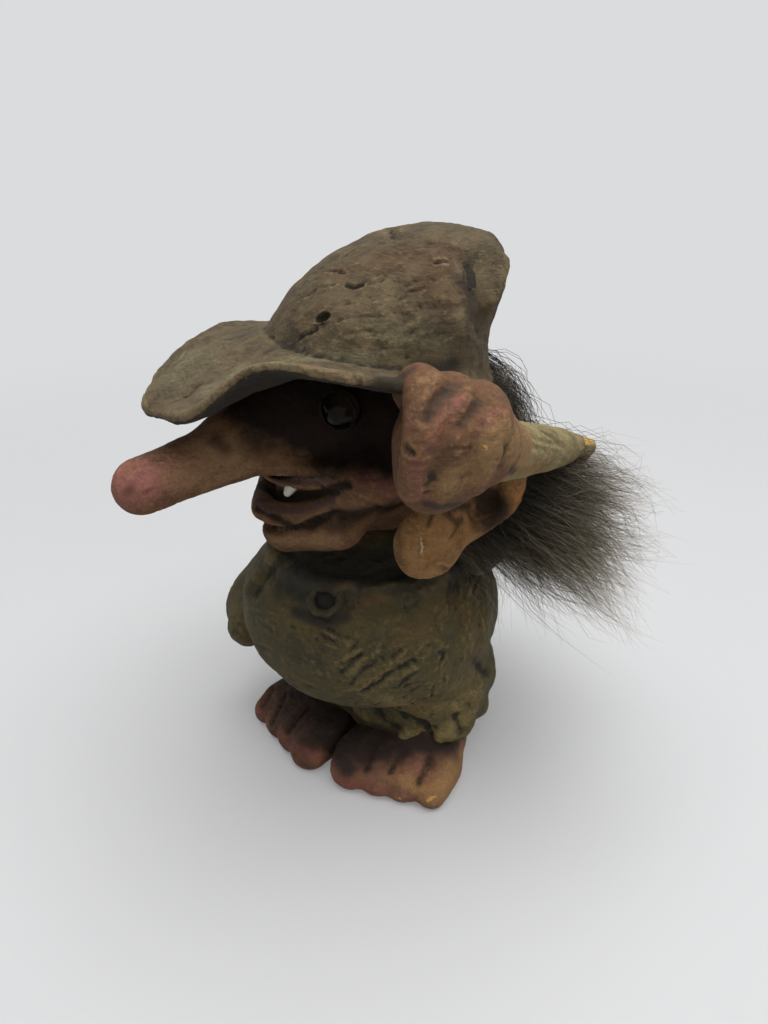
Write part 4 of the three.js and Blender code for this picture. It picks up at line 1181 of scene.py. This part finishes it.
def makeBody():
    points, faces = skinOf(bodyField, *body["box"], body["step"])
    skin = Skin(points, faces)
    skin.press([
        (0.45, 0.34, 339, 674, 347, 668, 361, 654), (0.5, 0.36, 351, 684, 362, 671, 372, 667, 383, 655),
        (0.6, 0.42, 363, 691, 378, 684, 392, 672, 414, 661), (0.45, 0.36, 398, 689, 408, 679, 419, 671),
        (0.9, -0.35, 345, 680, 358, 665, 376, 650), (1.0, -0.4, 357, 688, 380, 674, 404, 655),
        (1.0, -0.35, 376, 692, 400, 678, 424, 660), (1.2, -0.5, 339, 694, 352, 690, 368, 696),
        (0.6, 0.6, 441, 652), (0.4, 0.5, 433, 685, 432, 697), (1.2, -0.5, 436, 640, 446, 646),
        (2.2, -1.2, 249, 588, 262, 570, 274, 555), (1.2, 0.8, 256, 592, 268, 575, 280, 560),
        (1.4, 0.7, 345, 600, 400, 590, 431, 581), (2.4, 0.7, 455, 590, 462, 620, 452, 650),
        (2.2, 0.7, 476, 600, 480, 640), (1.6, 0.8, 470, 660, 486, 672),
        (1.6, 1.1, 378, 712, 386, 724, 396, 730), (2.0, -1.5, 402, 737, 414, 742),
        (1.4, 1.1, 424, 726, 430, 738), (1.8, -1.2, 438, 738, 448, 736), (1.4, 0.9, 456, 718, 462, 730),
        (1.6, -0.9, 354, 706, 366, 716), (1.2, 0.7, 404, 716, 418, 722), (1.4, 0.6, 446, 700, 470, 704)])
    skin.scuff((440, 585, 488, 690), 54, 96, 26, 0.45, 0.34, 51)
    skin.scuff((345, 640, 440, 705), 60, -36, 24, 0.45, 0.34, 52)
    skin.scuff((360, 700, 470, 738), 40, 40, 16, 0.5, 0.22, 53)
    skin.scuff((250, 610, 345, 692), 60, 24, 22, 0.5, 0.3, 54)
    skin.scuff((275, 555, 430, 590), 30, -30, 24, 0.7, 0.4, 55)
    skin.paint("blush", [
        (2.4, 0.55, 354, 604, 380, 600), (5.0, 0.42, 400, 640, 440, 620), (4.0, 0.35, 290, 610, 330, 640),
        (4.0, 0.45, 455, 600, 480, 625, 470, 660)])
    skin.paint("chip", [(0.8, 0.5, 418, 741, 424, 741), (0.7, 0.46, 468, 706, 474, 700)])
    # the broad strokes under the chin and round the button paint the dark shirt together with painted shade
    # cast by the head; the short strokes darken the hem's folds
    skin.paint("wash", [
        (8.5, 1.05, 300, 572, 340, 575, 420, 567), (2.2, 0.95, 296, 612, 318, 622, 345, 618),
        (4.6, 0.7, 285, 588, 320, 590, 348, 586), (4, 0.5, 260, 560, 250, 590),
        (1.8, 0.9, 372, 724, 396, 738), (1.0, 0.6, 425, 730, 428, 738), (2.4, 0.7, 346, 704, 364, 722),
        (4.0, 0.9, 455, 572, 490, 566), (6, 0.3, 255, 640, 300, 655)])
    # the lighter strokes along the hem are a painted highlight on its downward faces
    skin.paint("tint", [
        (6, 0.62, 385, 700, 430, 712, 474, 696), (3, 0.75, 404, 738, 436, 736, 474, 712),
        (6, 0.5, 440, 690, 470, 680), (3, 0.5, 238, 590, 236, 625)])
    finishCasting(skin, "torso_casting", "cloth", clothPaint, "cloth_paint", "torso_and_trousers")


makeBody()

# Feet, toes towards -y with the heel at the start, then turned out

foot = {
    "length": 50, "heelBack": 17, "step": 0.55, "ankle": 9, "toes": 4, "toe": 6.2, "toeShrink": 0.55,
    "balls": [((0, -11, 6.1), (11.2, 11, 9.9)), ((0, -25, 5.8), (13.2, 14, 10.5)),
              ((0, -34, 4.1), (15.5, 11, 7.5))],
    "toeOut": 11.5, "toeStep": 7.4, "toeBack": 1.2, "box": ((-19, -53, -2), (19, 3, 28)),
    "sides": [("left", 1, (14, 2), 5), ("right", -1, (-12, 4), -17)]}  # name, side, ankle, degrees turned out


def footField(side):
    def field(p):
        d = meld(5, *[ballField(p, *ball) for ball in foot["balls"]])
        back = -foot["heelBack"]
        d = meld(4, d, tubeField(p, [(0, back, 8), (0, back, 24)], [foot["ankle"]] * 2, 1))
        for i in range(foot["toes"]):
            radius = foot["toe"] - foot["toeShrink"] * i
            x = -side * (foot["toeOut"] - foot["toeStep"] * i)
            tip = -foot["length"] + radius + foot["toeBack"] * i
            path = [(x * 0.62, -22, 9.5), (x * 0.86, -34, 7.6), (x, tip + radius * 0.75, radius),
                    (x, tip, radius * 0.75)]
            d = meld(2.2, d, tubeField(p, path, [2.6, radius * 0.86, radius, radius * 0.92]))
        return np.maximum(d, 0.02 - p[:, 2])
    return field


def makeFeet():
    for name, side, at, splay in foot["sides"]:
        points, faces = skinOf(footField(side), *foot["box"], foot["step"])
        turn = math.radians(splay)
        x, y, z = (points + (0, foot["heelBack"], 0)).T
        points = np.stack([x * math.cos(turn) - y * math.sin(turn) + at[0],
                           x * math.sin(turn) + y * math.cos(turn) + at[1], z], 1)
        skin = Skin(points, faces)
        if side > 0:
            skin.press([
                (1.6, 0.45, 374, 744, 364, 764), (1.6, 0.45, 403, 752, 394, 766),
                (1.5, 0.4, 432, 760, 424, 776), (0.45, 0.25, 428, 792, 436, 786)])
            skin.scuff((345, 750, 470, 800), 40, 110, 14, 0.4, 0.1, 56)
            skin.paint("chip", [(0.6, 0.8, 396, 798, 401, 800), (0.7, 0.85, 428, 801, 434, 797)])
            # dark wash between the toes, and painted shade of the trouser hem along the top of the foot
            skin.paint("wash", [
                (3.8, 1.05, 338, 748, 348, 768), (3.0, 1.0, 374, 746, 366, 758),
                (4.8, 1.15, 355, 736, 400, 742, 450, 742), (6.0, 1.05, 345, 746, 384, 754),
                (2.0, 1.0, 376, 752, 367, 768), (3.2, 0.95, 403, 750, 398, 758),
                (1.4, 1.0, 398, 758, 391, 772), (2.5, 0.95, 434, 746, 429, 762),
                (1.1, 0.9, 428, 762, 419, 784), (3.0, 0.8, 452, 736, 466, 728),
                (3.4, 1.4, 340, 736, 352, 728, 376, 734)])
            skin.paint("tint", [
                (4.8, 1.3, 476, 742, 462, 768, 434, 796), (2.6, 0.9, 404, 780, 425, 792),
                (2.2, 0.5, 384, 772, 396, 782)])
            skin.paint("blush", [(3.4, 1.0, 340, 784, 384, 797)])
        else:
            skin.press([
                (1.1, 1.0, 272, 689, 260, 707), (1.1, 1.1, 284, 696, 271, 721),
                (1.1, 1.2, 308, 706, 287, 729)])
            skin.scuff((258, 690, 320, 750), 30, 115, 14, 0.4, 0.2, 57)
            skin.paint("wash", [
                (5.4, 1.15, 300, 694, 330, 722), (4.6, 1.15, 314, 730, 330, 744),
                (2.0, 1.0, 272, 690, 261, 706), (2.2, 1.0, 284, 697, 271, 721),
                (9.0, 0.66, 262, 698, 302, 740), (2.4, 1.1, 308, 706, 289, 730),
                (3.0, 0.7, 296, 732, 304, 744), (4.2, 1.4, 336, 704, 346, 724, 336, 744)])
            # the right foot is painted darker towards its top
            skin.cover("wash", 0.9 * softStep(4.5, 10, skin.points[:, 2] + skin.broad[:, 0]))
            skin.paint("blush", [(1.8, 1.0, 257, 705, 264, 722), (2.2, 0.8, 276, 734, 290, 745, 318, 757)])
        finishCasting(skin, name + "_foot_casting", "foot", footPaint, "foot_paint", name + "_foot")


makeFeet()

# Button, tooth and eyes

button = {
    "collar": 3.35, "thick": 0.95, "boss": (2.3, 2.3, 1.5), "out": (0.12, -0.62, 0.775), "sides": 7,
    "reach": 6, "step": 0.26, "washed": (2.3, 3.0)}


def makeButton():
    low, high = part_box("trouser_button")
    centre = np.array((low + high) / 2) / scale + headShift
    out = unit(button["out"])
    side = unit(np.cross((0, 0, 1), out))
    axes = np.stack([side, np.cross(out, side), out])

    def field(p):
        q = (p - centre) @ axes.T
        angle = np.arctan2(q[:, 1], q[:, 0])
        facet = 2 * math.pi / button["sides"]
        corner = np.cos((angle + 20) % facet - facet / 2)
        away = np.hypot(q[:, 0], q[:, 1]) * (0.35 + 0.65 * corner)
        collar = np.hypot(away - button["collar"], q[:, 2] - 0.3) - button["thick"]
        base = np.maximum(np.maximum(away - button["collar"], q[:, 2]), -1 - q[:, 2])
        return meld(0.5, meld(0.4, collar, base), ballField(q, (0, 0, -0.1), button["boss"]))

    points, faces = skinOf(field, centre - button["reach"], centre + button["reach"], button["step"])
    skin = Skin(points, faces)
    reach = np.linalg.norm(((points - centre) @ axes.T)[:, :2], axis=1)
    skin.cover("wash", 1.25 * (1 - softStep(*button["washed"], reach)))
    finishCasting(skin, "button_boss", "skin", buttonPaint, "button_paint", "trouser_button")


buttonPaint = paintMaterial(
    "buttonPaint", [(68, 62, 43), (54, 52, 40), (20, 20, 20), (100, 90, 60),
                    (60, 52, 40), (60, 52, 40), yellowRubber],
    [0.4, 0.8, 0.6, 0.3, 0.2])
makeButton()


def plainPaint(name, dark, light, size, rough, coat=0.0):
    material, tree, shader = newMaterial(name)
    spot = tree.nodes.new("ShaderNodeTexCoord").outputs["Object"]
    cloud = cloudNoise(tree, spot, size, 4.0)
    tint = mixColours(tree, cloud, srgb(*dark), srgb(*light))
    plus, minus, times = sums(tree)
    even = plus(times(cloud, 0.2), rough - 0.1)
    setInputs(tree, shader, {"Base Color": tint, "Roughness": even, "Coat Weight": coat})
    return material


def finishPiece(name, points, faces, material, slot, *nodes):
    piece = makeObject(name, points, faces)
    piece.data.materials.append(material)
    handIn(piece, slot, *nodes)


tooth = {
    "path": [(6.8, -26.8, 87), (6.8, -28.4, 85.2), (6.6, -29.2, 84)], "radii": [1.6, 1.35, 0.95],
    "step": 0.3, "box": ((2, -33, 77), (10, -24, 90))}


def makeTooth():
    def field(p):
        return tubeField(p, tooth["path"], tooth["radii"])

    points, faces = skinOf(field, *tooth["box"], tooth["step"])
    finishPiece("tooth_peg", turnHead(points), faces, toothWhite, "tooth_white", "tooth")


def makeEyes():
    radius, depth = eye["radius"], -eye["slice"]
    for side, sign in (("left", 1), ("right", -1)):
        at = eyeAt * np.array([sign, 1, 1])
        look = eyeLook * np.array([sign, 1, 1])

        def back(p):
            d = ballField(p, at, (radius - eye["slack"],) * 3)
            return np.maximum(d, (p - at) @ look - depth)

        def glass(p):
            d = ballField(p, at, (radius,) * 3)
            return np.maximum(d, depth - eye["overlap"] - (p - at) @ look)

        for name, field, material, slot in (("eye_back", back, eyePaint, "eye_paint"),
                                            ("eye_glass", glass, eyeGlass, "eye_glass")):
            points, faces = skinOf(field, at - eye["reach"], at + eye["reach"], eye["step"])
            finishPiece(
                side + "_" + name + "_lens", turnHead(points), faces, material, slot, side + "_" + name)


toothWhite = plainPaint("toothWhite", (214, 208, 196), (232, 228, 218), 500, 0.35, 0.2)
eyePaint = plainPaint("eyePaint", (10, 8, 7), (34, 24, 16), 600, 0.4)
eyeGlass, glassTree, glassShader = newMaterial("eyeGlass")
glassSpot = glassTree.nodes.new("ShaderNodeTexCoord").outputs["Object"]
glassCloud = cloudNoise(glassTree, glassSpot, 300.0)
glassTint = mixColours(glassTree, glassCloud, srgb(70, 56, 40), srgb(120, 104, 82))
setInputs(glassTree, glassShader, {
    "Base Color": glassTint, "Roughness": 0.12, "Transmission Weight": 1.0, "IOR": 1.19})
makeTooth()
makeEyes()
print("button, tooth and eyes made")

# Fur: locks of hair over a dark undercoat, on a tanned hide round the back of the head

fur = {
    "seed": 7, "hairs": 120, "thickness": 0.058, "frizz": 15.0, "spread": 7.2,
    "locks": [  # degrees round, degrees up, bend and tip from the root
        (130, -20, (8.5, 16, -7.5), (8.5, 31, -13)), (130, -18, (12.5, 16.4, -7.6), (12, 41, -17)),
        (130, -22, (10.5, 16.5, -7.6), (10.5, 35, -14.5)),
        (131, -22, (17, 15.6, -7), (17.4, 42, -18.6)), (132, -28, (20.4, 14, -7.9), (22.4, 38.6, -23)),
        (133, -34, (22, 12.2, -8.7), (29, 33, -27.4)), (134, -38, (21.6, 11, -9.8), (30.5, 26, -29.6)),
        (134, -42, (19.8, 10.4, -10.4), (28.6, 21.4, -24.4)),
        (134, -44, (16.1, 9.8, -11.6), (23.4, 17, -19.4)), (134, -44, (13, 8.4, -13), (17.3, 11, -19))],
    "farLocks": [
        (-122, -14, (-3, 14, -12), (-4, 27, -32)), (-130, -20, (-5, 16, -14), (-8, 30, -36)),
        (-138, -26, (-6, 17, -15), (-10, 33, -39)), (-144, -34, (-6, 18, -16), (-12, 34, -42)),
        (-132, -38, (-9, 14, -15), (-16, 26, -38)), (-124, -40, (-10, 10, -14), (-16, 19, -33)),
        (-116, -38, (-9, 7, -12), (-14, 13, -27)), (-152, -22, (-3, 19, -15), (-5, 34, -38)),
        (-158, -36, (-3, 20, -17), (-6, 35, -44))],
    "middle": [(174, -22, (4, 16, -17), (7, 31, -36)), (172, -34, (5, 18, -17), (9, 31, -38))],
    "under": {"radii": [6, 5, 2.4], "box": ((-52, -14, 40), (52, 50, 110)), "step": 1.1},
    "hide": {"inner": 0.2, "outer": 1.6, "low": 82.8, "high": 101, "front": 3,
             "box": ((-32, -12, 79), (32, 28, 108)), "step": 0.7},
    "cap": {"from": 134, "to": 250, "step": 11, "up": 16, "bend": (5, -9), "tip": (8, -27)},
    "tuft": [(120, 8, (-4, 8, 4), (-11, 16, 4)), (127, 8, (-4, 8, 3), (-11, 14, 3)),
             (124, 2, (-4, 6, 2), (-8, 11, 3))],
}


def lockGuides(rows, copies, shake, spin):
    draw = np.random.default_rng(fur["seed"] + spin)
    guides = []
    for around, up, bend, tip in rows:
        for _ in range(copies):
            root = onSkull(around + draw.normal(0, 7), up + draw.normal(0, 6), 0.5)
            sway = draw.normal(0, shake, 3)
            reach = 1 + draw.normal(0, 0.08)
            guides.append([
                root, root + np.array(bend) * reach + sway * 0.4, root + np.array(tip) * reach + sway])
    return guides


def mirroredRows(rows):
    return [(-a, u, (-b[0], b[1], b[2]), (-t[0], t[1], t[2])) for a, u, b, t in rows]


def guideCurves(name, guides):
    curve = bpy.data.curves.new(name, "CURVE")
    curve.dimensions = "3D"
    for guide in guides:
        path = toMetres(turnHead(smoothPath(guide, [0, 0, 0], 4)[0]))
        spline = curve.splines.new("POLY")
        spline.points.add(len(path) - 1)
        spline.points.foreach_set("co", np.column_stack([path, np.ones(len(path))]).ravel())
    return addObject(name, curve)


def makeLocks(name, guides, values):
    holder = guideCurves(name + "_guides", guides)
    growTree(holder, hairLocks, {"Root Share": 0.36, "Shortest": 0.5, "Material": furPaint, **values})
    piece = bake(holder, name)
    handIn(piece, "fur", "fur_wig")
    print("made", name, sum(len(p.vertices) - 2 for p in piece.data.polygons))


def makeFur():
    hairs = max(20, int(fur["hairs"] / coarse ** 3))
    common = {"Frizz": fur["frizz"], "Thickness": fur["thickness"], "Spread": fur["spread"], "Hairs": hairs}
    cap = fur["cap"]
    capRows = []
    for around in range(cap["from"], cap["to"], cap["step"]):
        out = np.array([math.sin(math.radians(around)), -math.cos(math.radians(around)), 0])
        capRows.append((around, cap["up"], out * cap["bend"][0] + (0, 0, cap["bend"][1]),
                        out * cap["tip"][0] + (0, 0, cap["tip"][1])))
    stray = {
        "Seed": 5, "Spread": 11.0, "Root Share": 0.7, "Hairs": hairs // 12, "Frizz": 12.0, "Thickness": 0.06}
    strayRows = fur["locks"][2:] + fur["middle"] + fur["farLocks"]
    half = hairs // 2
    for name, rows, copies, shake, spin, values in (
            ("fur_cap", capRows, 4, 2.0, 5, {"Seed": 6, "Frizz": 8.0, "Hairs": half}),
            ("fur_left", fur["locks"], 5, 4.5, 0, {"Seed": 1}),
            ("fur_right", fur["farLocks"], 5, 4.5, 1, {"Seed": 2}),
            ("fur_middle", fur["middle"], 16, 6.0, 2, {"Seed": 3}),
            ("fur_tuft", fur["tuft"] + mirroredRows(fur["tuft"]), 3, 2.5, 3,
             {"Seed": 4, "Spread": 3.6, "Frizz": 7.0, "Hairs": half}),
            ("fur_strays", strayRows, 2, 7, 4, stray)):
        makeLocks(name, lockGuides(rows, copies, shake, spin), {**common, **values})

    def under(p):
        d = np.full(len(p), 1e9)
        for rows in (fur["locks"], fur["farLocks"], fur["middle"]):
            for around, up, bend, tip in rows:
                root = onSkull(around, up, 0)
                path = [root, root + np.array(bend) * 0.8, root + np.array(bend) * 0.45 + np.array(tip) * 0.3]
                d = meld(3, d, tubeField(p, path, fur["under"]["radii"], 2))
        return d

    points, faces = skinOf(under, *fur["under"]["box"], fur["under"]["step"])
    finishPiece("fur_undercoat", turnHead(points), faces, undercoat, "fur", "fur_wig")

    def hide(p):
        band = fur["hide"]
        outer = ballField(p, skullAt, skullHalf + band["outer"])
        shell = np.maximum(outer, -ballField(p, skullAt, skullHalf + band["inner"]))
        window = np.maximum(
            np.maximum(band["low"] - p[:, 2], p[:, 2] - band["high"]), band["front"] - p[:, 1])
        return np.maximum(shell, window)

    points, faces = skinOf(hide, *fur["hide"]["box"], fur["hide"]["step"])
    finishPiece("hide_band", turnHead(points), faces, hidePaint, "hide", "fur_hide")


undercoat = plainPaint("undercoat", (30, 27, 23), (52, 47, 40), 260, 0.9)
hidePaint = plainPaint("hidePaint", (120, 100, 74), (160, 138, 104), 180, 0.85)
foamPaint = plainPaint("foamPaint", (190, 160, 88), (216, 190, 122), 900, 0.95)
makeFur()
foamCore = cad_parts["foam_core"]
foamCore.data.materials.clear()
foamCore.data.materials.append(foamPaint)
print("fur made")
